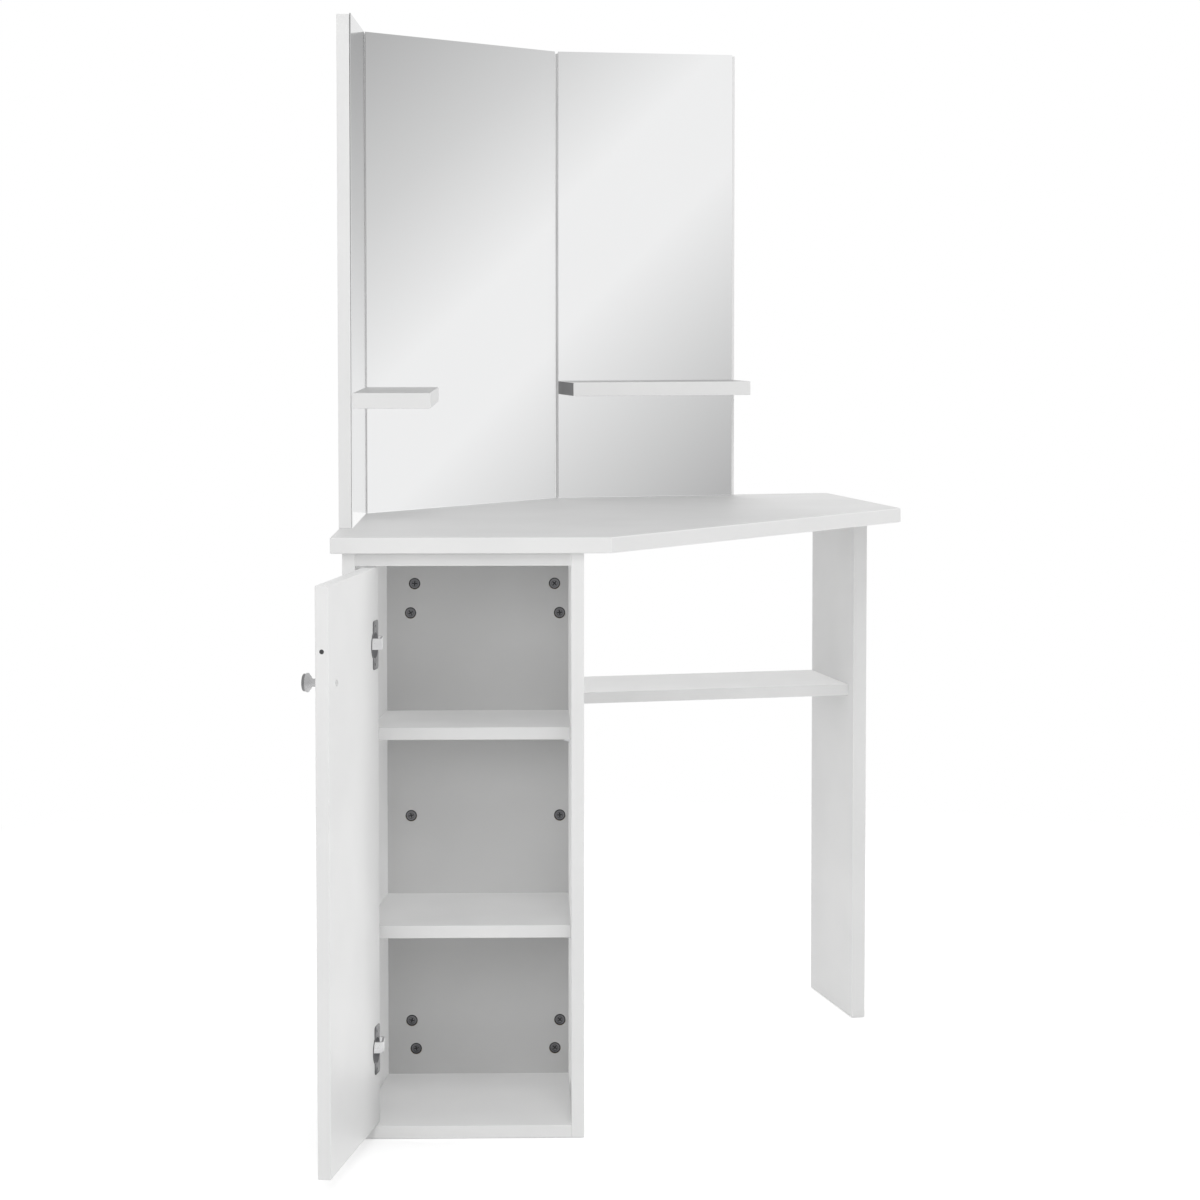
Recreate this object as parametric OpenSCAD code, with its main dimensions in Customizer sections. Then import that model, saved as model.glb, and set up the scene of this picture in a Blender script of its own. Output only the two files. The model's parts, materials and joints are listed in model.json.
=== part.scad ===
// Corner dressing table: an angular tabletop on a hinged-door cabinet and a leg panel, joined below by an
// angled shelf, with three standing mirror panels and two small ledges. Millimetres, +Z up, front towards -Y.
// The origin is on the floor, under the centre of the outer box with the door open as it is drawn.

/* [Tabletop] */
// Width over the two side corners
table_w = 1110; // [1060:5:1160]
// Depth from the front edge to the back edge
table_d = 540; // [520:5:570]
// Thickness of the tabletop
table_t = 20; // [18:1:25]
// Length of the straight front edge
table_front_w = 670; // [640:5:700]
// Length of the straight back edge
table_back_w = 432; // [420:2:444]
// Distance of the side corners behind the front edge
table_corner_y = 270; // [260:2:280]

/* [Boards] */
// Height of the cabinet and of the leg panel
side_h = 736; // [710:2:760]
// Thickness of the cabinet, shelf and mirror boards
board_t = 16; // [15:0.5:18]
// Set-back of the cabinet and of the leg panel from the table edge
overhang = 9; // [6:1:14]

/* [Leg] */
// Thickness of the leg panel
leg_t = 20; // [16:1:24]
// Width of the leg panel
leg_w = 205; // [190:5:220]
// Distance of the leg panel from the back edge of the table
leg_back_gap = 19; // [14:1:26]

/* [Knee shelf] */
// Height of the knee shelf's underside
knee_z = 472; // [420:4:520]
// Depth of the knee shelf where it meets the leg panel
knee_arm_d = 181; // [160:1:190]
// Depth of the knee shelf at the middle of the back
knee_mid_d = 140; // [120:2:150]

/* [Cabinet] */
// Width of the cabinet over its two sides, at the front
cab_w = 300; // [290:2:306]
// Clear depth of the cabinet, front to back panel
cab_d = 258; // [240:2:270]
// Gap from the table's side corner to the cabinet's left side
cab_gap = 14.4; // [8:0.2:20]
// Angle by which the left side turns in towards the back
cab_toe = 6; // [4:0.5:8]
// Height of the lower shelf's top
lower_shelf_z = 260; // [240:2:280]
// Set-back of the lower shelf from the cabinet's front
lower_shelf_in = 45; // [35:1:60]
// Height of the upper shelf's top
upper_shelf_z = 505; // [480:1:530]
// Set-back of the upper shelf from the cabinet's front
upper_shelf_in = 95; // [80:1:110]
// Gap between a loose shelf and the boards round it
shelf_gap = 0.3; // [0.2:0.1:0.5]

/* [Door] */
// Gap round the closed door
door_gap = 2; // [1.5:0.25:3]
// Angle by which the door stands open
door_open = 100; // [80:1:105]
// Distance of the hinges' middles from the door's two ends
hinge_inset = 96; // [80:1:130]
// Height of the knob above the floor
knob_z = 600; // [540:5:640]
// Distance of the knob from the door's free edge
knob_in = 38; // [30:1:50]
// Diameter of the knob's head
knob_d = 23; // [18:0.5:28]
// Length of the knob from the door's face
knob_l = 24; // [20:0.5:30]
// Height of the catch in the door's free edge
catch_z = 641; // [620:1:680]

/* [Mirrors] */
// Height of the mirror glass
mirror_h = 659; // [600:1:720]
// Thickness of the mirror glass
glass_t = 2; // [1.5:0.5:3]
// Width of each side mirror's board
side_mirror_w = 272; // [250:2:276]
// Bare rim of the board at the free end of a side mirror
mirror_rim = 4.5; // [2:0.5:8]
// Height by which the glass stands over its board
glass_over = 2; // [1:0.5:4]
// Gap from the fold between two mirrors to each panel's end
corner_gap = 2.5; // [2:0.25:4]

/* [Ledges] */
// Depth of a ledge
ledge_d = 100; // [80:2:110]
// Thickness of a ledge
ledge_t = 20; // [16:1:24]
// Height of a ledge's underside above the tabletop
ledge_up = 154; // [130:2:180]

/* [Fittings] */
// Diameter of the cam locks
cam_d = 15; // [12:0.5:16]
// Depth of the cam locks
cam_h = 12; // [10:0.5:12.5]
// Diameter of the cam bolts
bolt_d = 6; // [5:0.5:6.5]
// Diameter of the wooden dowels
dowel_d = 8; // [6:0.5:8]
// Length of the wooden dowels
dowel_l = 24; // [20:1:26]
// Diameter of the wood screws' shanks
screw_d = 4; // [3:0.5:4]
// Diameter of the shelf pins
pin_d = 5; // [4:0.5:6]
// Clearance all round a fitting in its hole
fit = 0.1; // [0.05:0.05:0.2]

/* [Hidden] */
$fn = 48;

WHITE = [0.93, 0.93, 0.92];
GLASS = [0.80, 0.82, 0.83];
STEEL = [0.66, 0.67, 0.68];
DARK = [0.38, 0.39, 0.40];
WOOD = [0.80, 0.66, 0.46];

// ---- Plan geometry ------------------------------------------------------------------------------
// The plan is drawn with x = 0 on the table's centre line and y = 0 on its front edge.
corner = [-table_w / 2, table_corner_y];
front_end = [-table_front_w / 2, 0];
back_end = [-table_back_w / 2, table_d];
cab_turn = atan2(front_end.y - corner.y, front_end.x - corner.x);
wall_turn = atan2(back_end.y - corner.y, back_end.x - corner.x);

// A step of length d at angle a
function step(a, d) = [d * cos(a), d * sin(a)];
// The place where two lines cross, each given by a point and an angle
function meet(p, a, q, b) =
    p + step(a, ((q.x - p.x) * sin(b) - (q.y - p.y) * cos(b)) / sin(b - a));
// A line parallel to the left back edge, off further in, as a point on it
function wall_line(off) = corner + step(wall_turn - 90, off);
// The place at a distance run in from the cabinet's table edge and off in from the left back edge
function left_point(run, off) = meet(wall_line(off), wall_turn, corner + step(cab_turn + 90, run), cab_turn);
// The place where a line off in from the left back edge crosses the line back in from the straight back edge
function fold_point(off, back) = meet(wall_line(off), wall_turn, [0, table_d - back], 0);
// The same place on the other half of the table
function flip(p) = [-p.x, p.y];
// A plan vector turned by an angle
function turned(p, a) = [p.x * cos(a) - p.y * sin(a), p.x * sin(a) + p.y * cos(a)];
table_top = side_h + table_t;

// ---- Mirrors ------------------------------------------------------------------------------------
panel_t = board_t + glass_t;
fold = fold_point(panel_t, panel_t);
side_mirror_end = (fold - corner) * step(wall_turn, 1) - corner_gap;
side_mirror_start = side_mirror_end - side_mirror_w;
centre_mirror_half = -fold.x - corner_gap;
board_h = mirror_h - glass_over;
ledge_z = table_top + ledge_up;
mirror_screws_at = [0.15, 0.5, 0.85];   // shares of a mirror board's width
ledge_screws_at = [0.18, 0.5, 0.82];    // shares of a ledge's length

// ---- Cabinet, in its own frame: x along the front from the left outer corner, y into the cabinet 
side_run = board_t / cos(cab_toe);
cab_outer_d = cab_d + board_t;
cab_right = cab_w - board_t;
cab_top_z = side_h - board_t;
// Inner face of the left side at the depth y
function wall_x(y) = side_run + y * tan(cab_toe);
// A point s along the left side's inner face from the front and h off it
function on_wall(s, h) = [side_run, 0] + turned([h, s], -cab_toe);

// ---- Door and hinge -----------------------------------------------------------------------------
hinge_clear = 1;                        // the hinge side's gap is wider by this much
door_left = wall_x(board_t) + door_gap + hinge_clear;
door_right = cab_right - door_gap;
door_bottom = board_t + door_gap;
door_top = cab_top_z - door_gap;
hinge_zs = [door_bottom + hinge_inset, door_top - hinge_inset];
pivot = [door_left + 12, 7];            // hinge axis: in from the door's edge, behind its face
pin_r = 1.5;
pin_run = 0.05;                         // running clearance round the hinge pin
cup_r = 17.5;
cup_in = 22.5;                          // cup's middle from the door's hinge edge
cup_depth = 13;
cup_wall = 1;
flange_t = 1.2;
flange_w = 26;
flange_h = 61;
flange_screw_up = 24;
ear_from = 7.3;                         // ears reach from here to ear_to, above and below the arm
ear_to = 9.3;
arm_half = 7;                           // half the arm's height
arm_t = 3;
arm_eye_r = 2.7;
arm_out = 14.5;                         // arm's reach from the pin into the cabinet
arm_back = 29;                          // arm's reach from the pin past the door
plate_t = 3;
plate_from = 38;                        // hinge plate's front end from the cabinet's front
plate_l = 40;
plate_half = 8;
wing_from = 8;                          // plate's wing: from the plate's front end
wing_l = 16;
wing_half = 24;
wing_screw_up = 17;
arm_screw_in = 30;                      // arm's screw from the plate's front end
knob_foot_d = 14;
knob_foot_t = 2.5;
knob_neck_d = 9;
knob_head_t = 11;
knob_bite = 9;                          // depth of the screw in the knob
knob_screw_head = 8;
catch_d = 6;
catch_l = 12;
catch_tip = 1;

// ---- Fittings -----------------------------------------------------------------------------------
cam_from_end = 24;                      // cam's middle from the end of its board
cam_mid = cam_h / 2 + 1;                // bolt line below the cam's face
bolt_deep = 11;                         // depth of a bolt in the board it is driven into
screw_bite = 14;
short_bite = 11;
screw_head_d = 8;
screw_head_t = 2;
pin_out = 7;
pin_in = 9;
// Cam locks in the back panel, from left to right and from bottom to top
back_side_cams_x = [74.6, 272.3];
back_end_cams_x = [80.2, 265.6];
back_side_cams_z = [88, 364, 635];
back_low_cam_up = 34;
back_high_cam_down = 46;
// Each as [x, z, turn of the bolt, distance to the end of the panel]
back_cams = concat(
    [for (z = back_side_cams_z) [back_side_cams_x[0], z, 180, back_side_cams_x[0] - wall_x(cab_d + cam_mid)]],
    [for (z = back_side_cams_z) [back_side_cams_x[1], z, 0, cab_right - back_side_cams_x[1]]],
    [for (x = back_end_cams_x) [x, board_t + back_low_cam_up, -90, back_low_cam_up]],
    [for (x = back_end_cams_x) [x, cab_top_z - back_high_cam_down, 90, back_high_cam_down]]
);
// Cam locks under the cabinet's top and bottom boards, by depth, and the dowel between them
board_cams_y = [50, 205];
board_dowel_y = 128;
table_screws_at = [[70, 28], [235, 28], [95, 235], [235, 235]];
// Cam locks under the knee shelf, along the leg panel and along the cabinet's back
knee_leg_cams_x = [36, 142];
knee_leg_dowel_x = 89;
knee_cab_cams_x = [66, 156];
knee_cab_dowel_x = 111;
leg_dowels_at = [0.15, 0.5, 0.85];      // shares of the leg panel's width
shelf_pins_in = 22;                     // pins from a shelf's front and back edges

// ---- Outer box of the part with the door open, for the origin -----------------------------------
function from_cabinet(p) = corner + turned(p + [cab_gap, overhang], cab_turn);
function door_point(p) = from_cabinet(pivot + turned(p - pivot, -door_open));
box_left = min(corner.x, door_point([door_right, 0]).x, door_point([door_right, board_t]).x);
origin = [(box_left + table_w / 2) / 2, table_d / 2];

module floor_frame() {
    translate([-origin.x, -origin.y, 0]) children();
}
module at_corner(turn) {
    floor_frame() translate([corner.x, corner.y, 0]) rotate([0, 0, turn]) children();
}
module on_right() {
    floor_frame() mirror([1, 0, 0]) translate([origin.x, origin.y, 0]) children();
}
module at_cabinet() {
    at_corner(cab_turn) translate([cab_gap, overhang, 0]) children();
}
module at_leg() {
    on_right() at_corner(cab_turn) translate([leg_back_gap, overhang, 0]) children();
}
module at_left_mirror() {
    at_corner(wall_turn) translate([side_mirror_start, 0, 0]) children();
}
module at_door() {
    at_cabinet() translate([pivot.x, pivot.y, 0]) rotate([0, 0, -door_open])
        translate([-pivot.x, -pivot.y, 0]) children();
}
// Inner face of the cabinet's left side: x off the face, y along it from the front
module at_left_side() {
    at_cabinet() translate([side_run, 0, 0]) rotate([0, 0, -cab_toe]) children();
}
// Inner face of the cabinet's right side: x off the face, y along it from the front
module at_right_side() {
    at_cabinet() translate([cab_right, 0, 0]) mirror([1, 0, 0]) children();
}

// ---- Shapes of the fittings ---------------------------------------------------------------------
// A cam lock: its open face is at z = 0 and its bolt comes in along +X
module cam_lock() {
    slot_w = 2;
    slot_l = 0.6 * cam_d;
    slot_deep = 2;
    difference() {
        translate([0, 0, -cam_h]) cylinder(d = cam_d, h = cam_h);
        for (turn = [45, 135]) {
            rotate([0, 0, turn]) translate([-slot_l / 2, -slot_w / 2, -slot_deep])
                cube([slot_l, slot_w, slot_deep + 1]);
        }
        translate([0, 0, -cam_mid]) rotate([0, 90, 0]) cylinder(d = bolt_d + 6 * fit, h = cam_d);
    }
}
module cam_room() {
    translate([0, 0, -cam_h - fit]) cylinder(d = cam_d + 2 * fit, h = cam_h + 1);
}
// A cam's bolt, held in the cam and driven into the board that starts at the distance reach
module cam_bolt(reach) {
    head_from = 2;
    head_t = 2;
    neck_t = 3;
    translate([0, 0, -cam_mid]) rotate([0, 90, 0]) {
        translate([0, 0, head_from]) cylinder(d = bolt_d, h = head_t);
        translate([0, 0, head_from + head_t]) cylinder(d = bolt_d / 2, h = neck_t);
        translate([0, 0, head_from + head_t + neck_t])
            cylinder(d = bolt_d, h = reach + bolt_deep - head_from - head_t - neck_t);
    }
}
module bolt_room(reach) {
    translate([0, 0, -cam_mid]) rotate([0, 90, 0])
        cylinder(d = bolt_d + 2 * fit, h = reach + bolt_deep + fit);
}
// A dowel along +Z with its middle at z = 0
module dowel(gap = 0) {
    cylinder(d = dowel_d + 2 * gap, h = dowel_l + 2 * gap, center = true);
}
// A countersunk screw along +Z, its head's face at z = 0, through one board and into the next
module wood_screw(through, bite = screw_bite) {
    cylinder(d1 = screw_head_d, d2 = screw_d, h = screw_head_t);
    translate([0, 0, screw_head_t]) cylinder(d = screw_d, h = through + bite - screw_head_t);
}
module screw_room(through, bite = screw_bite) {
    cylinder(d1 = screw_head_d + 2 * fit, d2 = screw_d + 2 * fit, h = screw_head_t);
    translate([0, 0, -1]) cylinder(d = screw_head_d + 2 * fit, h = 1);
    translate([0, 0, 1]) cylinder(d = screw_d + 2 * fit, h = through + bite + fit - 1);
}

// ---- Places of the fittings: a fitting and its hole share one place -----------------------------
module back_cam_places(bolts = false, rooms = false) {
    at_cabinet() {
        for (c = back_cams) {
            translate([c[0], cab_d, c[1]]) rotate([90, 0, 0]) rotate([0, 0, c[2]]) {
                if (rooms) {
                    cam_room();
                    bolt_room(c[3]);
                } else if (bolts) {
                    cam_bolt(c[3]);
                } else {
                    cam_lock();
                }
            }
        }
    }
}
// Cams whose open face looks down; turn 0 points the bolt to +X
module down_cam(p, turn, bolts, rooms) {
    translate(p) rotate([180, 0, 0]) rotate([0, 0, turn]) {
        if (rooms) {
            cam_room();
            bolt_room(cam_from_end);
        } else if (bolts) {
            cam_bolt(cam_from_end);
        } else {
            cam_lock();
        }
    }
}
module board_cam_places(bolts = false, rooms = false) {
    at_cabinet() {
        for (z = [0, cab_top_z], y = board_cams_y) {
            down_cam([wall_x(y) + cam_from_end, y, z], 180, bolts, rooms);
            down_cam([cab_right - cam_from_end, y, z], 0, bolts, rooms);
        }
        for (x = knee_cab_cams_x) {
            down_cam([x, cab_outer_d + cam_from_end, knee_z], 90, bolts, rooms);
        }
    }
    at_leg() {
        for (x = knee_leg_cams_x) {
            down_cam([x, leg_t + cam_from_end, knee_z], 90, bolts, rooms);
        }
    }
}
module dowel_places(gap = 0) {
    into = dowel_l / 2 - bolt_deep;
    at_cabinet() {
        for (z = [board_t / 2, side_h - board_t / 2]) {
            translate([wall_x(board_dowel_y) + into, board_dowel_y, z]) rotate([0, 90, 0]) dowel(gap);
            translate([cab_right - into, board_dowel_y, z]) rotate([0, 90, 0]) dowel(gap);
        }
        translate([knee_cab_dowel_x, cab_outer_d + into, knee_z + board_t / 2]) rotate([90, 0, 0]) dowel(gap);
    }
    at_leg() {
        translate([knee_leg_dowel_x, leg_t + into, knee_z + board_t / 2]) rotate([90, 0, 0]) dowel(gap);
        for (share = leg_dowels_at) {
            translate([share * leg_w, leg_t / 2, side_h]) dowel(gap);
        }
    }
}
module mirror_screw_places() {
    for (share = mirror_screws_at) {
        for (side = [0, 1]) {
            on_side(side) at_left_mirror() translate([share * side_mirror_w, -board_t / 2, side_h])
                children();
        }
        floor_frame() translate([(2 * share - 1) * centre_mirror_half, table_d - board_t / 2, side_h])
            children();
    }
}
module ledge_screw_places() {
    for (side = [0, 1], share = ledge_screws_at) {
        on_side(side) at_left_mirror()
            translate([mirror_rim + share * (side_mirror_w - mirror_rim), 0, ledge_z + ledge_t / 2])
                rotate([90, 0, 0]) children();
    }
}
module on_side(side) {
    if (side == 0) {
        children();
    } else {
        on_right() children();
    }
}
module table_screw_places() {
    at_cabinet() {
        for (p = table_screws_at) {
            translate([p.x, p.y, cab_top_z]) children();
        }
    }
}
module shelf_pin_places() {
    for (s = [[lower_shelf_z, lower_shelf_in], [upper_shelf_z, upper_shelf_in]]) {
        for (y = [s[1] + shelf_pins_in, cab_d - shelf_pins_in]) {
            z = s[0] - board_t - pin_d / 2;
            at_left_side() translate([-pin_in, y, z]) rotate([0, 90, 0]) children();
            at_right_side() translate([-pin_in, y, z]) rotate([0, 90, 0]) children();
        }
    }
}
module hinge_plate_screw_places() {
    for (z = hinge_zs, up = [-wing_screw_up, wing_screw_up]) {
        at_left_side() translate([plate_t, plate_from + wing_from + wing_l / 2, z + up]) rotate([0, -90, 0])
            children();
    }
}
module hinge_arm_screw_places() {
    for (z = hinge_zs) {
        at_left_side() translate([plate_t + arm_t, plate_from + arm_screw_in, z]) rotate([0, -90, 0])
            children();
    }
}
module cup_places() {
    for (z = hinge_zs) {
        at_door() translate([door_left + cup_in, board_t, z]) rotate([-90, 0, 0]) children();
    }
}
module cup_screw_places() {
    for (up = [-flange_screw_up, flange_screw_up]) {
        cup_places() translate([0, up, flange_t]) rotate([180, 0, 0]) children();
    }
}
module knob_place() {
    at_door() translate([door_right - knob_in, 0, knob_z]) rotate([90, 0, 0]) children();
}
module catch_place() {
    at_door() translate([door_right, board_t / 2, catch_z]) rotate([0, 90, 0]) children();
}

// ---- Tabletop, leg panel and knee shelf ---------------------------------------------------------
module tabletop() {
    outline = [corner, front_end, flip(front_end), flip(corner), flip(back_end), back_end];
    color(WHITE) difference() {
        floor_frame() translate([0, 0, side_h]) linear_extrude(table_t) polygon(outline);
        mirror_screw_places() screw_room(table_t);
        table_screw_places() screw_room(board_t);
        dowel_places(fit);
    }
}
module leg_panel() {
    color(WHITE) difference() {
        at_leg() cube([leg_w, leg_t, side_h]);
        board_cam_places(rooms = true);
        dowel_places(fit);
    }
}
module knee_shelf() {
    in_leg = overhang + leg_t;
    knee_front = leg_back_gap + knee_arm_d;
    cab_back = overhang + cab_outer_d;
    outline = [
        flip(left_point(in_leg, leg_back_gap)), flip(fold_point(leg_back_gap, leg_back_gap)),
        fold_point(leg_back_gap, leg_back_gap), from_cabinet([cab_outer_d * tan(cab_toe), cab_outer_d]),
        left_point(cab_back, knee_front), fold_point(knee_front, leg_back_gap + knee_mid_d),
        flip(fold_point(knee_front, leg_back_gap + knee_mid_d)), flip(left_point(in_leg, knee_front))
    ];
    color(WHITE) difference() {
        floor_frame() translate([0, 0, knee_z]) linear_extrude(board_t) polygon(outline);
        board_cam_places(rooms = true);
        dowel_places(fit);
    }
}

// ---- Cabinet ------------------------------------------------------------------------------------
module cabinet_left_side() {
    back_x = cab_outer_d * tan(cab_toe);
    color(WHITE) difference() {
        at_cabinet() linear_extrude(side_h)
            polygon([[0, 0], [side_run, 0], [back_x + side_run, cab_outer_d], [back_x, cab_outer_d]]);
        back_cam_places(rooms = true);
        board_cam_places(rooms = true);
        dowel_places(fit);
        shelf_pin_places() cylinder(d = pin_d + 2 * fit, h = pin_in + pin_out);
        hinge_plate_screw_places() screw_room(plate_t, short_bite);
        hinge_arm_screw_places() screw_room(plate_t + arm_t, short_bite / 2);
    }
}
module cabinet_right_side() {
    color(WHITE) difference() {
        at_cabinet() translate([cab_right, 0, 0]) cube([board_t, cab_outer_d, side_h]);
        back_cam_places(rooms = true);
        board_cam_places(rooms = true);
        dowel_places(fit);
        shelf_pin_places() cylinder(d = pin_d + 2 * fit, h = pin_in + pin_out);
    }
}
// A level board between the sides, from the depth y0 to y1, kept off the boards round it by gap
module level_board(z, y0, y1, gap = 0) {
    at_cabinet() translate([0, 0, z]) linear_extrude(board_t) polygon([
        [wall_x(y0) + gap, y0], [cab_right - gap, y0], [cab_right - gap, y1 - gap],
        [wall_x(y1 - gap) + gap, y1 - gap]
    ]);
}
module cabinet_top_board() {
    color(WHITE) difference() {
        level_board(cab_top_z, 0, cab_outer_d);
        back_cam_places(rooms = true);
        board_cam_places(rooms = true);
        dowel_places(fit);
        table_screw_places() screw_room(board_t);
    }
}
module cabinet_bottom_board() {
    color(WHITE) difference() {
        level_board(0, 0, cab_outer_d);
        back_cam_places(rooms = true);
        board_cam_places(rooms = true);
        dowel_places(fit);
    }
}
module cabinet_back_panel() {
    color(WHITE) difference() {
        at_cabinet() translate([0, 0, board_t]) linear_extrude(cab_top_z - board_t) polygon([
            [wall_x(cab_d), cab_d], [cab_right, cab_d], [cab_right, cab_outer_d],
            [wall_x(cab_outer_d), cab_outer_d]
        ]);
        back_cam_places(rooms = true);
        board_cam_places(rooms = true);
        dowel_places(fit);
    }
}
module lower_shelf() {
    color(WHITE) level_board(lower_shelf_z - board_t, lower_shelf_in, cab_d, shelf_gap);
}
module upper_shelf() {
    color(WHITE) level_board(upper_shelf_z - board_t, upper_shelf_in, cab_d, shelf_gap);
}
module shelf_pins() {
    color(STEEL) shelf_pin_places() cylinder(d = pin_d, h = pin_in + pin_out);
}

// ---- Mirrors and ledges -------------------------------------------------------------------------
module side_mirror_board(side) {
    color(WHITE) difference() {
        on_side(side) at_left_mirror() translate([0, -board_t, table_top])
            cube([side_mirror_w, board_t, board_h]);
        mirror_screw_places() screw_room(table_t);
        ledge_screw_places() screw_room(panel_t);
    }
}
module side_mirror_glass(side) {
    color(GLASS) difference() {
        on_side(side) at_left_mirror() translate([mirror_rim, -panel_t, table_top])
            cube([side_mirror_w - mirror_rim, glass_t, mirror_h]);
        ledge_screw_places() screw_room(panel_t);
    }
}
module side_ledge(side) {
    color(WHITE) difference() {
        on_side(side) at_left_mirror() translate([mirror_rim, -panel_t - ledge_d, ledge_z])
            cube([side_mirror_w - mirror_rim, ledge_d, ledge_t]);
        ledge_screw_places() screw_room(panel_t);
    }
}
module left_mirror_board() {
    side_mirror_board(0);
}
module right_mirror_board() {
    side_mirror_board(1);
}
module centre_mirror_board() {
    color(WHITE) difference() {
        floor_frame() translate([-centre_mirror_half, table_d - board_t, table_top])
            cube([2 * centre_mirror_half, board_t, board_h]);
        mirror_screw_places() screw_room(table_t);
    }
}
module left_mirror_glass() {
    side_mirror_glass(0);
}
module right_mirror_glass() {
    side_mirror_glass(1);
}
module centre_mirror_glass() {
    color(GLASS) floor_frame() translate([-centre_mirror_half, table_d - panel_t, table_top])
        cube([2 * centre_mirror_half, glass_t, mirror_h]);
}
module left_ledge() {
    side_ledge(0);
}
module right_ledge() {
    side_ledge(1);
}

// ---- Fittings of the carcass --------------------------------------------------------------------
module back_cam_locks() {
    color(DARK) back_cam_places();
}
module board_cam_locks() {
    color(DARK) board_cam_places();
}
module cam_bolts() {
    color(STEEL) {
        back_cam_places(bolts = true);
        board_cam_places(bolts = true);
    }
}
module dowels() {
    color(WOOD) dowel_places();
}
module mirror_screws() {
    color(STEEL) mirror_screw_places() wood_screw(table_t);
}
module ledge_screws() {
    color(STEEL) ledge_screw_places() wood_screw(panel_t);
}
module table_screws() {
    color(STEEL) table_screw_places() wood_screw(board_t);
}

// ---- Hinges -------------------------------------------------------------------------------------
module hinge_plates() {
    color(STEEL) difference() {
        for (z = hinge_zs) {
            at_left_side() translate([0, plate_from, z]) {
                translate([0, 0, -plate_half]) cube([plate_t, plate_l, 2 * plate_half]);
                translate([0, wing_from, -wing_half]) cube([plate_t, wing_l, 2 * wing_half]);
            }
        }
        hinge_plate_screw_places() screw_room(plate_t, short_bite);
        hinge_arm_screw_places() screw_room(plate_t + arm_t, short_bite / 2);
    }
}
module hinge_plate_screws() {
    color(STEEL) hinge_plate_screw_places() wood_screw(plate_t, short_bite);
}
module hinge_arm_screws() {
    color(STEEL) hinge_arm_screw_places() wood_screw(plate_t + arm_t, short_bite / 2);
}
// Outline of a bent strip of thickness t that follows a path with sharp bends
function unit(v) = v / norm(v);
function left_of(v) = [-v.y, v.x];
function bend(path, i, t) =
    let (
        last = len(path) - 1,
        before = left_of(unit(path[max(i, 1)] - path[max(i, 1) - 1])),
        after = left_of(unit(path[min(i + 1, last)] - path[min(i + 1, last) - 1])),
        n = unit(before + after)
    )
    n * t / 2 / (n * before);
function strip(path, t) = concat(
    [for (i = [0 : len(path) - 1]) path[i] + bend(path, i, t)],
    [for (i = [len(path) - 1 : -1 : 0]) path[i] - bend(path, i, t)]
);
module hinge_arms() {
    path = [
        pivot, pivot + [arm_out, 0], pivot + [arm_out, arm_back],
        on_wall(plate_from + 2, plate_t + arm_t / 2), on_wall(plate_from + plate_l, plate_t + arm_t / 2)
    ];
    color(STEEL) difference() {
        for (z = hinge_zs) {
            at_cabinet() translate([0, 0, z - arm_half]) {
                linear_extrude(2 * arm_half) polygon(strip(path, arm_t));
                translate([pivot.x, pivot.y, 0]) cylinder(r = arm_eye_r, h = 2 * arm_half);
            }
        }
        for (z = hinge_zs) {
            at_cabinet() translate([pivot.x, pivot.y, z - arm_half - 1])
                cylinder(r = pin_r + pin_run, h = 2 * arm_half + 2);
        }
        hinge_arm_screw_places() screw_room(plate_t + arm_t, short_bite / 2);
    }
}

// ---- Door ---------------------------------------------------------------------------------------
module door_panel() {
    color(WHITE) difference() {
        at_door() translate([door_left, 0, door_bottom])
            cube([door_right - door_left, board_t, door_top - door_bottom]);
        cup_places() translate([0, 0, -cup_depth - fit]) cylinder(r = cup_r + fit, h = cup_depth + 1);
        cup_screw_places() screw_room(flange_t, short_bite);
        knob_place() translate([0, 0, -board_t - 1]) cylinder(d = screw_d + 2 * fit, h = board_t + 2);
        catch_place() translate([0, 0, -catch_l - fit]) cylinder(d = catch_d + 2 * fit, h = catch_l + 1);
    }
}
// The cup's middle is at x = y = 0 and the door's inner face at z = 0; x runs away from the hinge edge
module hinge_cups() {
    pin_x = pivot.x - door_left - cup_in;
    pin_z = pivot.y - board_t;
    ear_r = 3.5;
    color(STEEL) difference() {
        cup_places() {
            difference() {
                union() {
                    translate([0, 0, -cup_depth]) cylinder(r = cup_r, h = cup_depth + flange_t);
                    translate([-cup_r, -flange_h / 2, 0]) cube([flange_w, flange_h, flange_t]);
                }
                translate([0, 0, cup_wall - cup_depth])
                    cylinder(r = cup_r - cup_wall, h = cup_depth + flange_t);
            }
            for (side = [-1, 1]) {
                intersection() {
                    translate([0, 0, -cup_depth + cup_wall / 2])
                        cylinder(r = cup_r - cup_wall / 2, h = cup_depth);
                    translate([-cup_r, min(side * ear_from, side * ear_to), cup_wall / 2 - cup_depth])
                        cube([cup_r + pin_x + ear_r, ear_to - ear_from, cup_depth + pin_z + ear_r]);
                }
            }
        }
        cup_places() translate([pin_x, 0, pin_z]) rotate([90, 0, 0])
            cylinder(r = pin_r + pin_run, h = 2 * ear_to + 1, center = true);
        cup_screw_places() screw_room(flange_t, short_bite);
    }
}
module hinge_pins() {
    color(STEEL) for (z = hinge_zs) {
        at_door() translate([pivot.x, pivot.y, z]) cylinder(r = pin_r, h = 2 * ear_to, center = true);
    }
}
module hinge_cup_screws() {
    color(STEEL) cup_screw_places() wood_screw(flange_t, short_bite);
}
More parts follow.
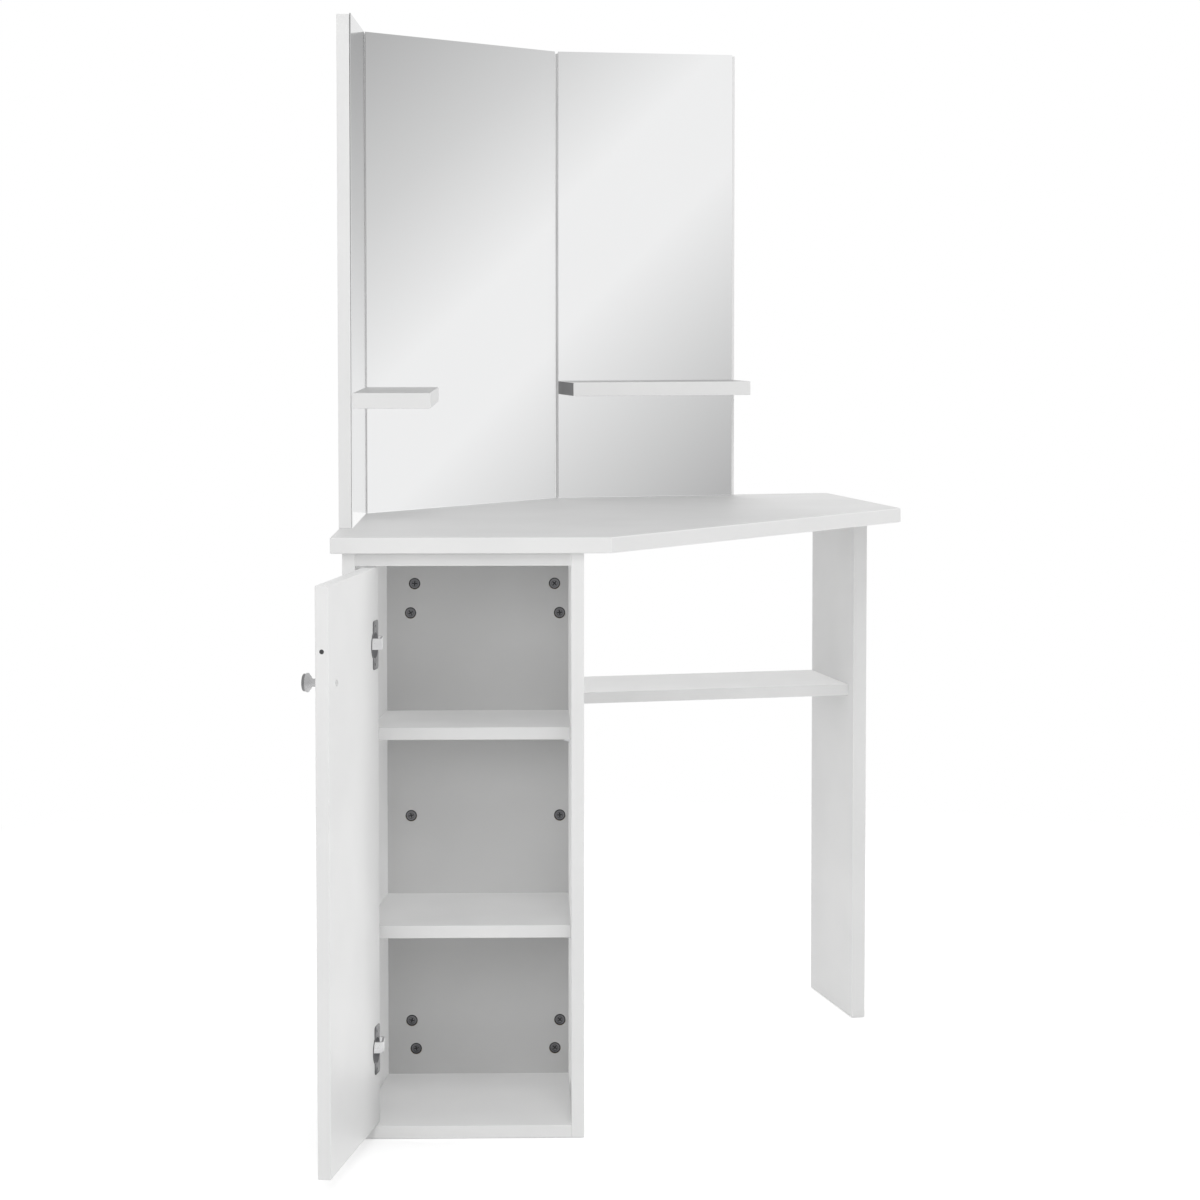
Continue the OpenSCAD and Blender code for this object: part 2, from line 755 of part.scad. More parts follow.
module knob() {
    head_z = knob_l - knob_head_t;
    outline = [
        [0, 0], [knob_foot_d / 2, 0], [knob_foot_d / 2, knob_foot_t], [knob_neck_d / 2, knob_foot_t + 1],
        [knob_neck_d / 2, head_z - 1], [0.4 * knob_d, head_z], [0.4 * knob_d, head_z + 2],
        [knob_d / 2, head_z + 3], [knob_d / 2, knob_l - 2], [0.42 * knob_d, knob_l], [0, knob_l]
    ];
    color(STEEL) knob_place() difference() {
        rotate_extrude() polygon(outline);
        translate([0, 0, -1]) cylinder(d = screw_d + 2 * fit, h = knob_bite + 1 + fit);
    }
}
module knob_screw() {
    color(STEEL) knob_place() {
        translate([0, 0, -board_t]) cylinder(d = screw_d, h = board_t + knob_bite);
        translate([0, 0, -board_t - screw_head_t]) cylinder(d = knob_screw_head, h = screw_head_t);
    }
}
module door_catch() {
    color(DARK) catch_place() {
        translate([0, 0, -catch_l]) cylinder(d = catch_d, h = catch_l);
        cylinder(d = catch_d / 2, h = catch_tip);
    }
}

tabletop();
leg_panel();
knee_shelf();
cabinet_left_side();
cabinet_right_side();
cabinet_top_board();
cabinet_bottom_board();
cabinet_back_panel();
lower_shelf();
upper_shelf();
shelf_pins();
left_mirror_board();
centre_mirror_board();
right_mirror_board();
left_mirror_glass();
centre_mirror_glass();
right_mirror_glass();
left_ledge();
right_ledge();
back_cam_locks();
board_cam_locks();
cam_bolts();
dowels();
mirror_screws();
ledge_screws();
table_screws();
hinge_plates();
hinge_plate_screws();
hinge_arms();
hinge_arm_screws();
door_panel();
hinge_cups();
hinge_pins();
hinge_cup_screws();
knob();
knob_screw();
door_catch();
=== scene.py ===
"""Builds the look of a white corner dressing table on the frame that the CAD model gives.

Each sub-assembly is a class with its sizes as dataclass fields, in millimetres, and methods that build and
dress its meshes. The frame's own nodes stay where they are. A piece with more shape stands for a node where
that shows, and the others are carried over.
"""

import json
import logging
import math
from dataclasses import dataclass
from enum import Enum
from typing import Callable, Sequence

import bmesh
import bpy
from mathutils import Matrix, Vector

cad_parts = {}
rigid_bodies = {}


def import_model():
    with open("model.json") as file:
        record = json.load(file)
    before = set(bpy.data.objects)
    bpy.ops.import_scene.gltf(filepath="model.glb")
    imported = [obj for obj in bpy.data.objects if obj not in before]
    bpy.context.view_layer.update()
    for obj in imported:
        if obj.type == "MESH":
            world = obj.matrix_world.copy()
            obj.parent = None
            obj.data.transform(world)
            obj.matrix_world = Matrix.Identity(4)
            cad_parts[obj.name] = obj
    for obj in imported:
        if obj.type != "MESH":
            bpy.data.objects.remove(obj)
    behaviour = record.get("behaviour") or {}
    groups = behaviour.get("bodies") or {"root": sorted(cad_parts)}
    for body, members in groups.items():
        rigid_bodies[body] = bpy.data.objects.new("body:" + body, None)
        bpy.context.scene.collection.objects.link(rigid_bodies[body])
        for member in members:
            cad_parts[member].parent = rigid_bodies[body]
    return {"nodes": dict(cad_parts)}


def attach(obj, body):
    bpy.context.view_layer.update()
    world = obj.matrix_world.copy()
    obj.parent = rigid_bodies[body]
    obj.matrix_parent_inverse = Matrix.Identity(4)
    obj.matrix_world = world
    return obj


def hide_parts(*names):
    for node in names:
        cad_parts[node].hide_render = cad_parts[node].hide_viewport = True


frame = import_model()

logging.basicConfig(level=logging.INFO, format="%(message)s")
LOG = logging.getLogger("dressing_table")
MM = 0.001
UP, DOWN = Vector((0, 0, 1)), Vector((0, 0, -1))
RIGHT, BACK = Vector((1, 0, 0)), Vector((0, 1, 0))
WIDE_FACE = 0.999
SAME_WAY = 0.99

Point2 = tuple[float, float]
Point3 = tuple[float, float, float]
Color = tuple[float, float, float]
Object = bpy.types.Object
Material = bpy.types.Material
Socket = bpy.types.NodeSocket
Head = tuple[Vector, Vector]
Way = Callable[[Vector], Vector]


class Slot(Enum):
    """The record's material slots."""

    BOARD = "white_board"
    MIRROR = "mirror_glass"
    STEEL = "zinc_steel"
    CAM = "cast_cam"
    KNOB = "satin_knob"
    BEECH = "beech"
    CATCH = "dark_catch"


class Body(Enum):
    """The CAD bodies."""

    CARCASS = "carcass"
    DOOR = "door"


# ---- Small helpers ----------------------------------------------------------------------------------------


def turned(p: Point2, angle: float) -> Point2:
    """Turns a plan vector.

    Args:
        p: The vector.
        angle: The angle in degrees, anticlockwise from above.

    Returns:
        The turned vector.
    """
    c, s = math.cos(math.radians(angle)), math.sin(math.radians(angle))
    return (p[0] * c - p[1] * s, p[0] * s + p[1] * c)


def added(a: Point2, b: Point2) -> Point2:
    """Returns the sum of two plan vectors."""
    return (a[0] + b[0], a[1] + b[1])


def flipped(p: Point2) -> Point2:
    """Returns a plan point mirrored to the other half of the table."""
    return (-p[0], p[1])


def angle_of(start: Point2, end: Point2) -> float:
    """Returns the angle of the plan line from one point to another, in degrees."""
    return math.degrees(math.atan2(end[1] - start[1], end[0] - start[0]))


def meet(p: Point2, a: float, q: Point2, b: float) -> Point2:
    """Finds where two plan lines cross.

    Args:
        p: A point of the first line.
        a: The first line's angle in degrees.
        q: A point of the second line.
        b: The second line's angle in degrees.

    Returns:
        The crossing point.
    """
    ca, sa = math.cos(math.radians(a)), math.sin(math.radians(a))
    cb, sb = math.cos(math.radians(b)), math.sin(math.radians(b))
    run = ((q[0] - p[0]) * sb - (q[1] - p[1]) * cb) / (ca * sb - sa * cb)
    return (p[0] + run * ca, p[1] + run * sa)


def rectangle(x0: float, y0: float, x1: float, y1: float) -> list[Point2]:
    """Returns the corners of a rectangle."""
    return [(x0, y0), (x1, y0), (x1, y1), (x0, y1)]


def side_of(out: Vector) -> Vector:
    """Returns a direction square to an outward one, and level where the outward one isn't upright."""
    return (UP if abs(out.z) < 0.9 else BACK).cross(out).normalized()


def turn_to(side: Vector, out: Vector) -> Matrix:
    """Returns the turn that lays the X axis to the side and the Z axis outwards."""
    return Matrix((side, out.cross(side), out)).transposed().to_4x4()


def link(mesh: bpy.types.Mesh, name: str) -> Object:
    """Makes an object of a mesh and puts it in the scene.

    Args:
        mesh: The mesh.
        name: The object's name.

    Returns:
        The object.
    """
    obj = bpy.data.objects.new(name, mesh)
    bpy.context.scene.collection.objects.link(obj)
    return obj


def mesh_from(bm: bmesh.types.BMesh, name: str) -> bpy.types.Mesh:
    """Turns a bmesh into a mesh and frees it.

    Args:
        bm: The bmesh.
        name: The mesh's name.

    Returns:
        The mesh.
    """
    mesh = bpy.data.meshes.new(name)
    bm.normal_update()
    bm.to_mesh(mesh)
    bm.free()
    return mesh


def smooth_by_angle(obj: Object, angle: float = 32.0) -> None:
    """Shades an object smooth and keeps its sharp edges.

    Args:
        obj: The object.
        angle: The angle in degrees from which an edge is sharp.
    """
    bm = bmesh.new()
    bm.from_mesh(obj.data)
    limit = math.radians(angle)
    for face in bm.faces:
        face.smooth = True
    for edge in bm.edges:
        edge.smooth = edge.is_manifold and edge.calc_face_angle(0.0) < limit
    bm.to_mesh(obj.data)
    bm.free()


def settled(obj: Object) -> Object:
    """Applies an object's modifiers.

    Args:
        obj: A mesh object with modifiers.

    Returns:
        The same object with a plain mesh.
    """
    graph = bpy.context.evaluated_depsgraph_get()
    mesh = bpy.data.meshes.new_from_object(obj.evaluated_get(graph), depsgraph=graph)
    obj.modifiers.clear()
    obj.data = mesh
    return obj


def carve(obj: Object, cutters: Sequence[Object]) -> Object:
    """Cuts other objects out of an object and removes them.

    Args:
        obj: The object to cut.
        cutters: The objects that are taken away from it.

    Returns:
        The cut object.
    """
    for cutter in cutters:
        modifier = obj.modifiers.new("cut", "BOOLEAN")
        modifier.operation, modifier.solver, modifier.object = "DIFFERENCE", "EXACT", cutter
    settled(obj)
    for cutter in cutters:
        bpy.data.objects.remove(cutter)
    return obj


def islands(node: str) -> list[list[Vector]]:
    """Splits a CAD node into its separate solids.

    Args:
        node: The node's name.

    Returns:
        The points of each solid, in metres, from left to right and then from low to high.
    """
    bm = bmesh.new()
    bm.from_mesh(frame["nodes"][node].data)
    bmesh.ops.remove_doubles(bm, verts=bm.verts, dist=1e-6)
    seen: set[bmesh.types.BMVert] = set()
    groups: list[list[Vector]] = []
    for start in bm.verts:
        if start in seen:
            continue
        stack, group = [start], []
        seen.add(start)
        while stack:
            vert = stack.pop()
            group.append(vert.co.copy())
            for edge in vert.link_edges:
                other = edge.other_vert(vert)
                if other not in seen:
                    seen.add(other)
                    stack.append(other)
        groups.append(group)
    bm.free()
    return sorted(groups, key=lambda g: (round(g[0].x, 3), round(g[0].z, 3)))


def prism(
    name: str, outline: Sequence[Point2], low: float, high: float, wide: Vector, edge: float
) -> bpy.types.Mesh:
    """Makes a board with eased edges from its plan outline.

    Args:
        name: The mesh's name.
        outline: The outline in metres.
        low: The height of its underside in metres.
        high: The height of its top in metres.
        wide: The direction that its two wide faces look in.
        edge: The radius of its eased edges in metres.

    Returns:
        The mesh: its wide faces have material 0, and its narrow faces and eased edges material 1.
    """
    bm = bmesh.new()
    lower = [bm.verts.new((x, y, low)) for x, y in outline]
    upper = [bm.verts.new((x, y, high)) for x, y in outline]
    bm.faces.new(lower[::-1])
    bm.faces.new(upper)
    for i in range(len(outline)):
        j = (i + 1) % len(outline)
        bm.faces.new((lower[i], lower[j], upper[j], upper[i]))
    bmesh.ops.recalc_face_normals(bm, faces=bm.faces)
    bmesh.ops.bevel(
        bm, geom=list(bm.edges), offset=edge, segments=3, profile=0.5, affect="EDGES", clamp_overlap=True
    )
    bm.normal_update()
    for face in bm.faces:
        face.material_index = 0 if abs(face.normal.dot(wide)) > WIDE_FACE else 1
    return mesh_from(bm, name)


def lathe(name: str, profile: Sequence[Point2], steps: int) -> bpy.types.Mesh:
    """Turns a profile round the Z axis.

    Args:
        name: The mesh's name.
        profile: Radius and height of each point in metres, from the axis and back to it.
        steps: The number of steps round.

    Returns:
        The mesh.
    """
    bm = bmesh.new()
    verts = [bm.verts.new((r, 0.0, z)) for r, z in profile]
    edges = [bm.edges.new(pair) for pair in zip(verts, verts[1:])]
    bmesh.ops.spin(
        bm, geom=verts + edges, cent=(0, 0, 0), axis=UP, angle=math.tau, steps=steps, use_duplicate=False
    )
    bmesh.ops.remove_doubles(bm, verts=bm.verts, dist=1e-7)
    bmesh.ops.recalc_face_normals(bm, faces=bm.faces)
    return mesh_from(bm, name)


def turned_part(name: str, profile: Sequence[Point2], steps: int = 64) -> Object:
    """Makes a round part.

    Args:
        name: The object's name.
        profile: Radius and height of each point in millimetres.
        steps: The number of steps round.

    Returns:
        The object, smooth but for its sharp edges.
    """
    obj = link(lathe(name, [(r * MM, z * MM) for r, z in profile], steps), name)
    smooth_by_angle(obj)
    return obj


def plate(name: str, outline: Sequence[Point2], low: float, high: float, edge: float) -> bpy.types.Mesh:
    """Makes a flat plate in its own frame, from sizes in millimetres, and returns it in metres."""
    points = [(x * MM, y * MM) for x, y in outline]
    return prism(name, points, low * MM, high * MM, UP, edge * MM)


def cross_cutters(arm: float, half: float, low: float, high: float) -> list[Object]:
    """Makes the two crossed bars that cut a driver's cross, from sizes in millimetres.

    Args:
        arm: The length of each of the cross's four arms.
        half: Half an arm's width.
        low: The height of the cross's floor.
        high: The height that the bars reach to.

    Returns:
        The two bars.
    """
    bars = []
    for reach in ((arm, half, high), (half, arm, high)):
        bm = bmesh.new()
        bmesh.ops.create_cube(bm, size=1.0)
        foot = (-reach[0], -reach[1], low)
        for vert in bm.verts:
            vert.co = Vector([(foot[i] if vert.co[i] < 0 else reach[i]) * MM for i in range(3)])
        bars.append(link(mesh_from(bm, "cross"), "cross"))
    return bars


def joined(name: str, objects: Sequence[Object]) -> Object:
    """Joins mesh objects into one object at the origin and removes them.

    Args:
        name: The new object's name.
        objects: The objects to join.

    Returns:
        The joined object.
    """
    bm = bmesh.new()
    for obj in objects:
        mesh = obj.data.copy()
        mesh.transform(obj.matrix_world)
        bm.from_mesh(mesh)
        bpy.data.meshes.remove(mesh)
    mesh = bpy.data.meshes.new(name)
    bm.to_mesh(mesh)
    bm.free()
    for obj in objects:
        bpy.data.objects.remove(obj)
    return link(mesh, name)


def rounded(corners: Sequence[Point2], radius: float, steps: int = 5, closed: bool = True) -> list[Point2]:
    """Rounds the corners of an outline or of an open path.

    Args:
        corners: Its corners.
        radius: The radius of each rounded corner.
        steps: The number of steps round a corner.
        closed: Whether the last corner joins the first.

    Returns:
        The points of the rounded line.
    """
    count = len(corners)
    out: list[Point2] = []
    for i, here in enumerate(corners):
        if not closed and i in (0, count - 1):
            out.append(tuple(here))
            continue
        point = Vector(here)
        before = Vector(corners[i - 1]) - point
        after = Vector(corners[(i + 1) % count]) - point
        half = before.angle(after) / 2
        cut = min(radius / math.tan(half), before.length * 0.48, after.length * 0.48)
        start, end = point + before.normalized() * cut, point + after.normalized() * cut
        for k in range(steps + 1):
            t = k / steps
            curve = start.lerp(point, t).lerp(point.lerp(end, t), t)
            out.append((curve.x, curve.y))
    return out


def strip(path: Sequence[Point2], thick: float) -> list[Point2]:
    """Works out the outline of a bent strip.

    Args:
        path: The open path that the strip's middle follows.
        thick: The strip's thickness.

    Returns:
        The outline, along one side and back along the other.
    """
    sides: list[tuple[Vector, Vector]] = []
    for i, here in enumerate(path):
        before = Vector(path[max(i, 1)]) - Vector(path[max(i, 1) - 1])
        last = min(i + 1, len(path) - 1)
        after = Vector(path[last]) - Vector(path[last - 1])
        n0, n1 = before.orthogonal().normalized(), after.orthogonal().normalized()
        n = (n0 + n1).normalized()
        n *= thick / 2 / n.dot(n0)
        sides.append((Vector(here) + n, Vector(here) - n))
    return [tuple(a) for a, _ in sides] + [tuple(b) for _, b in reversed(sides)]


# ---- Fittings of the CAD frame ----------------------------------------------------------------------------


@dataclass(frozen=True)
class Bore:
    """A round bore's radius and depth, in millimetres."""

    radius: float
    deep: float


def heads(node: str, way: Vector | Way) -> list[Head]:
    """Finds the faces of a CAD node's fittings.

    Args:
        node: The CAD node with the fittings.
        way: The direction that they look in, or what gives it for a fitting's place.

    Returns:
        The middle of each fitting's face and the direction that it looks in.
    """
    found = []
    for group in islands(node):
        out = way(sum(group, Vector()) / len(group)) if callable(way) else way
        middle = Vector()
        side = side_of(out)
        for axis in (side, out.cross(side)):
            spans = [p.dot(axis) for p in group]
            middle += axis * (min(spans) + max(spans)) / 2
        middle += out * max(p.dot(out) for p in group)
        found.append((middle, out))
    return found


def near_height(points: Sequence[Head], height: float) -> list[Head]:
    """Returns the fittings whose faces lie within a millimetre of a height in millimetres."""
    return [head for head in points if abs(head[0].z - height * MM) < MM]


def bores(points: Sequence[Head], bore: Bore) -> list[Object]:
    """Makes one cutter with a round bore at every fitting.

    Args:
        points: The middle of each fitting's face and the direction that it looks in.
        bore: The bores' size.

    Returns:
        A list with the cutter, or an empty list if there is no fitting.
    """
    cutters = []
    for middle, out in points:
        profile = [(0, -bore.deep), (bore.radius, -bore.deep), (bore.radius, 3.0), (0, 3.0)]
        cutter = turned_part("bore", profile, 48)
        cutter.data.transform(Matrix.Translation(middle) @ out.to_track_quat("Z", "Y").to_matrix().to_4x4())
        cutters.append(cutter)
    return [joined("bores", cutters)] if cutters else []


# ---- Plan of the table ------------------------------------------------------------------------------------


@dataclass(frozen=True)
class Place:
    """A flat frame in plan: a base point, a turn in degrees and whether it is mirrored to the right half."""

    base: Point2
    turn: float
    right: bool = False

    def plan(self, x: float, y: float) -> Point2:
        """Returns a point of this frame in the table's plan, in millimetres."""
        p = added(self.base, turned((x, y), self.turn))
        return flipped(p) if self.right else p

    def way(self, x: float, y: float) -> Vector:
        """Returns a direction of this frame in the table's plan."""
        dx, dy = turned((x, y), self.turn)
        return Vector((-dx if self.right else dx, dy, 0.0)).normalized()


TABLE = Place((0.0, 0.0), 0.0)


@dataclass(frozen=True)
class Plan:
    """The table's plan, in millimetres, with x = 0 on its centre line and y = 0 on its front edge.

    The left half is laid out from the tabletop's left corner, and the right half mirrors it. Two values are
    angles in degrees: toe is how far the cabinet's left side turns in, and door_open how far the photograph's
    door is open.
    """

    corner: Point2 = (-555.0, 270.0)
    front_end: Point2 = (-335.0, 0.0)
    back_end: Point2 = (-216.0, 540.0)
    depth: float = 540.0
    side_height: float = 736.0
    top_thick: float = 20.0
    board: float = 16.0
    glass: float = 2.0
    overhang: float = 9.0
    cabinet_gap: float = 14.4
    cabinet_width: float = 300.0
    cabinet_clear: float = 258.0
    toe: float = 6.0
    door_open: float = 100.0
    door_gap: float = 2.0
    hinge_clear: float = 1.0
    hinge_in: float = 12.0
    hinge_behind: float = 7.0
    corner_gap: float = 2.5
    side_mirror: float = 272.0
    leg_back_gap: float = 19.0
    screw_bore: Bore = Bore(3.95, 10.0)

    @property
    def cab_turn(self) -> float:
        """Angle of the table edge over the cabinet's front."""
        return angle_of(self.corner, self.front_end)

    @property
    def wall_turn(self) -> float:
        """Angle of the left back edge."""
        return angle_of(self.corner, self.back_end)

    @property
    def top(self) -> float:
        """Height of the tabletop's surface."""
        return self.side_height + self.top_thick

    @property
    def cabinet(self) -> Place:
        """Frame of the cabinet: x along its front from its left outer corner, y into it."""
        base = added(self.corner, turned((self.cabinet_gap, self.overhang), self.cab_turn))
        return Place(base, self.cab_turn)

    @property
    def leg(self) -> Place:
        """Frame of the leg panel: x from its back edge, y inwards from its outer face."""
        base = added(self.corner, turned((self.leg_back_gap, self.overhang), self.cab_turn))
        return Place(base, self.cab_turn, True)

    @property
    def wall_x0(self) -> float:
        """Width of the left side's front edge."""
        return self.board / math.cos(math.radians(self.toe))

    def wall_x(self, y: float) -> float:
        """Returns the place of the left side's inner face at a depth."""
        return self.wall_x0 + y * math.tan(math.radians(self.toe))

    @property
    def cab_right(self) -> float:
        """Place of the right side's inner face."""
        return self.cabinet_width - self.board

    @property
    def cab_outer(self) -> float:
        """Outer depth of the cabinet."""
        return self.cabinet_clear + self.board

    @property
    def toe_in(self) -> float:
        """How far the left side stands in at the cabinet's back."""
        return self.cab_outer * math.tan(math.radians(self.toe))

    @property
    def left_side(self) -> Place:
        """Frame on the left side's inner face: x off the face, y along it from the front."""
        base = added(self.cabinet.base, turned((self.wall_x0, 0.0), self.cab_turn))
        return Place(base, self.cab_turn - self.toe)

    @property
    def door_left(self) -> float:
        """Place of the door's hinge edge, closed."""
        return self.wall_x(self.board) + self.door_gap + self.hinge_clear

    @property
    def door_right(self) -> float:
        """Place of the door's free edge, closed."""
        return self.cab_right - self.door_gap

    @property
    def pivot(self) -> Point2:
        """The hinge axis in the cabinet's frame."""
        return (self.door_left + self.hinge_in, self.hinge_behind)

    @property
    def door(self) -> Place:
        """Frame of the open door: the cabinet's frame turned about the hinge axis."""
        turn = self.cab_turn - self.door_open
        shift = turned((-self.pivot[0], -self.pivot[1]), turn)
        return Place(added(self.cabinet.plan(*self.pivot), shift), turn)

    def wall_line(self, off: float) -> Point2:
        """Returns a point of the line that runs a distance in from the left back edge."""
        return added(self.corner, turned((off, 0.0), self.wall_turn - 90.0))

    def fold_point(self, off: float, back: float) -> Point2:
        """Returns where that line crosses the line a distance in from the straight back edge."""
        return meet(self.wall_line(off), self.wall_turn, (0.0, self.depth - back), 0.0)

    def left_point(self, run: float, off: float) -> Point2:
        """Returns the point at distances in from the cabinet's table edge and the left back edge."""
        start = added(self.corner, turned((run, 0.0), self.cab_turn + 90.0))
        return meet(self.wall_line(off), self.wall_turn, start, self.cab_turn)

    @property
    def fold(self) -> Point2:
        """Where the glass of the left and centre mirrors would meet."""
        return self.fold_point(self.board + self.glass, self.board + self.glass)

    @property
    def mirror_start(self) -> float:
        """Where a side mirror's board begins along its edge, from the table's corner."""
        c, s = math.cos(math.radians(self.wall_turn)), math.sin(math.radians(self.wall_turn))
        run = (self.fold[0] - self.corner[0]) * c + (self.fold[1] - self.corner[1]) * s
        return run - self.corner_gap - self.side_mirror

    def mirror(self, right: bool) -> Place:
        """Returns a side mirror's frame: x along the board from its free end, -y towards the table."""
        base = added(self.corner, turned((self.mirror_start, 0.0), self.wall_turn))
        return Place(base, self.wall_turn, right)

    @property
    def origin(self) -> Point2:
        """The CAD frame's origin in the plan."""
        tip = min(self.door.plan(self.door_right, y)[0] for y in (0.0, self.board))
        return ((min(tip, self.corner[0]) - self.corner[0]) / 2, self.depth / 2)

    @property
    def centre(self) -> float:
        """The x of the table's centre line in the CAD frame, in metres."""
        return -self.origin[0] * MM

    def metres(self, p: Point2) -> Point2:
        """Turns a plan point in millimetres into a frame point in metres."""
        return ((p[0] - self.origin[0]) * MM, (p[1] - self.origin[1]) * MM)

    def outline(self, place: Place, points: Sequence[Point2]) -> list[Point2]:
        """Turns an outline in a plan frame, in millimetres, into one in the CAD frame, in metres."""
        return [self.metres(place.plan(*p)) for p in points]

    def point(self, place: Place, x: float, y: float, z: float) -> Vector:
        """Returns a point of a plan frame, given in millimetres, in the CAD frame, in metres."""
        px, py = self.metres(place.plan(x, y))
        return Vector((px, py, z * MM))

    def matrix(self, place: Place, x: float, y: float, z: float, out: Vector) -> Matrix:
        """Returns the frame at a point of a plan frame, with its Z axis outwards and its Y axis upright."""
        return Matrix.Translation(self.point(place, x, y, z)) @ turn_to(side_of(out), out)


# ---- Finishes ---------------------------------------------------------------------------------------------


WHITE = (1.0, 1.0, 1.0, 1.0)
NODE_STEP = 180  # how far apart the nodes stand in the editor


class Nodes:
    """A thin wrapper that adds nodes to a tree and joins them."""

    def __init__(self, tree: bpy.types.NodeTree) -> None:
        """Starts from an empty tree."""
        self.tree = tree
        tree.nodes.clear()

    def add(
        self, kind: str, inputs: dict[str | int, object] | None = None, **settings: object
    ) -> bpy.types.Node:
        """Adds a node.

        Args:
            kind: The node's type name.
            inputs: A value or an output to join for each of its inputs, by name or number.
            settings: Its properties.

        Returns:
            The node.
        """
        node = self.tree.nodes.new(kind)
        node.location.x = NODE_STEP * len(self.tree.nodes)
        for key, value in settings.items():
            setattr(node, key, value)
        for key, value in (inputs or {}).items():
            if isinstance(value, Socket):
                self.tree.links.new(value, node.inputs[key])
            else:
                node.inputs[key].default_value = value
        return node


class FinishNodes(Nodes):
    """The nodes of a new material on Object coordinates, with the steps that the finishes share."""

    def __init__(self, name: str) -> None:
        """Makes the material with an empty tree.

        Args:
            name: The material's name.
        """
        self.material = bpy.data.materials.new(name)
        self.material.use_nodes = True
        super().__init__(self.material.node_tree)
        self.at = self.add("ShaderNodeTexCoord").outputs["Object"]

    def noise(self, scale: float, detail: float, at: Socket | None = None) -> Socket:
        """Adds a noise texture.

        Args:
            scale: The noise's scale, in waves per metre.
            detail: The number of finer waves.
            at: The socket that gives its coordinates, if they aren't the plain ones.

        Returns:
            The noise's value.
        """
        values = {"Vector": at or self.at, "Scale": scale, "Detail": detail, "Roughness": 0.55}
        return self.add("ShaderNodeTexNoise", values).outputs["Fac"]

    def span(self, value: Socket, low: float, high: float, start: float = 0.3, end: float = 0.7) -> Socket:
        """Maps a value from one range to another.

        Args:
            value: The value.
            low: The result at the start.
            high: The result at the end.
            start: Where the value's range starts.
            end: Where it ends.

        Returns:
            The result.
        """
        values = {"Value": value, "From Min": start, "From Max": end, "To Min": low, "To Max": high}
        return self.add("ShaderNodeMapRange", values).outputs["Result"]

    def mixed(self, share: Socket, a: Color | Socket, b: Color) -> Socket:
        """Mixes two colours by a share and returns the colour."""
        first = a if isinstance(a, Socket) else (*a, 1.0)
        return self.add("ShaderNodeMix", {0: share, 6: first, 7: (*b, 1.0)}, data_type="RGBA").outputs[2]

    def mottled(self, value: Socket, a: Color, b: Color) -> Socket:
        """Returns a colour that runs between two colours with a noise's middle values."""
        return self.mixed(self.span(value, 0.0, 1.0), a, b)

    def bump(self, height: Socket, strength: float, distance: float) -> Socket:
        """Makes a normal of a height and returns it."""
        values = {"Height": height, "Strength": strength, "Distance": distance}
        return self.add("ShaderNodeBump", values).outputs["Normal"]

    def output(self, shader: Socket) -> Material:
        """Ends the tree with a shader and returns the material."""
        self.add("ShaderNodeOutputMaterial", {"Surface": shader})
        return self.material

    def surface(self, inputs: dict[str, object]) -> Material:
        """Ends the tree with a Principled shader of the given inputs and returns the material."""
        return self.output(self.add("ShaderNodeBsdfPrincipled", inputs).outputs["BSDF"])


@dataclass(frozen=True)
class LaminateFinish:
    """White melamine on a board's faces, or the band on its edges: a faint pearl and a fine mottle."""

    name: str
    light: Color = (0.800, 0.800, 0.797)
    dark: Color = (0.770, 0.771, 0.769)
    roughness: float = 0.36
    pearl: float = 0.05
    specular: float = 0.42
    cloud_scale: float = 7.0
    pearl_scale: float = 900.0

    def build(self) -> Material:
        """Makes the material.

        Returns:
            The material.
        """
        n = FinishNodes(self.name)
        cloud = n.noise(self.cloud_scale, 2.0)
        return n.surface({
            "Base Color": n.mottled(cloud, self.light, self.dark),
            "Roughness": n.span(cloud, self.roughness - 0.03, self.roughness + 0.04),
            "Specular IOR Level": self.specular,
            "Normal": n.bump(n.noise(self.pearl_scale, 2.0), self.pearl, 0.0002),
        })


@dataclass(frozen=True)
class CoreFinish:
    """Bare chipboard in a bore: light and dark wood flakes."""

    name: str = "chipboard"
    light: Color = (0.62, 0.48, 0.31)
    dark: Color = (0.42, 0.30, 0.18)
    flake_scale: float = 420.0

    def build(self) -> Material:
        """Makes the material.

        Returns:
            The material.
        """
        n = FinishNodes(self.name)
        values = {"Vector": n.at, "Scale": self.flake_scale, "Randomness": 1.0}
        flakes = n.add("ShaderNodeTexVoronoi", values).outputs["Distance"]
        return n.surface({
            "Base Color": n.mixed(n.span(flakes, 0.0, 1.0, 0.0, 0.6), self.dark, self.light),
            "Roughness": 0.9,
            "Normal": n.bump(flakes, 0.4, 0.0004),
        })


@dataclass(frozen=True)
class PaintedReflectionBand:
    """A mirror's painted reflection band: the steps of its tones to a metre sideways and down, and where it
    starts.
    """

    per_side: float
    per_down: float
    offset: float = 0.0


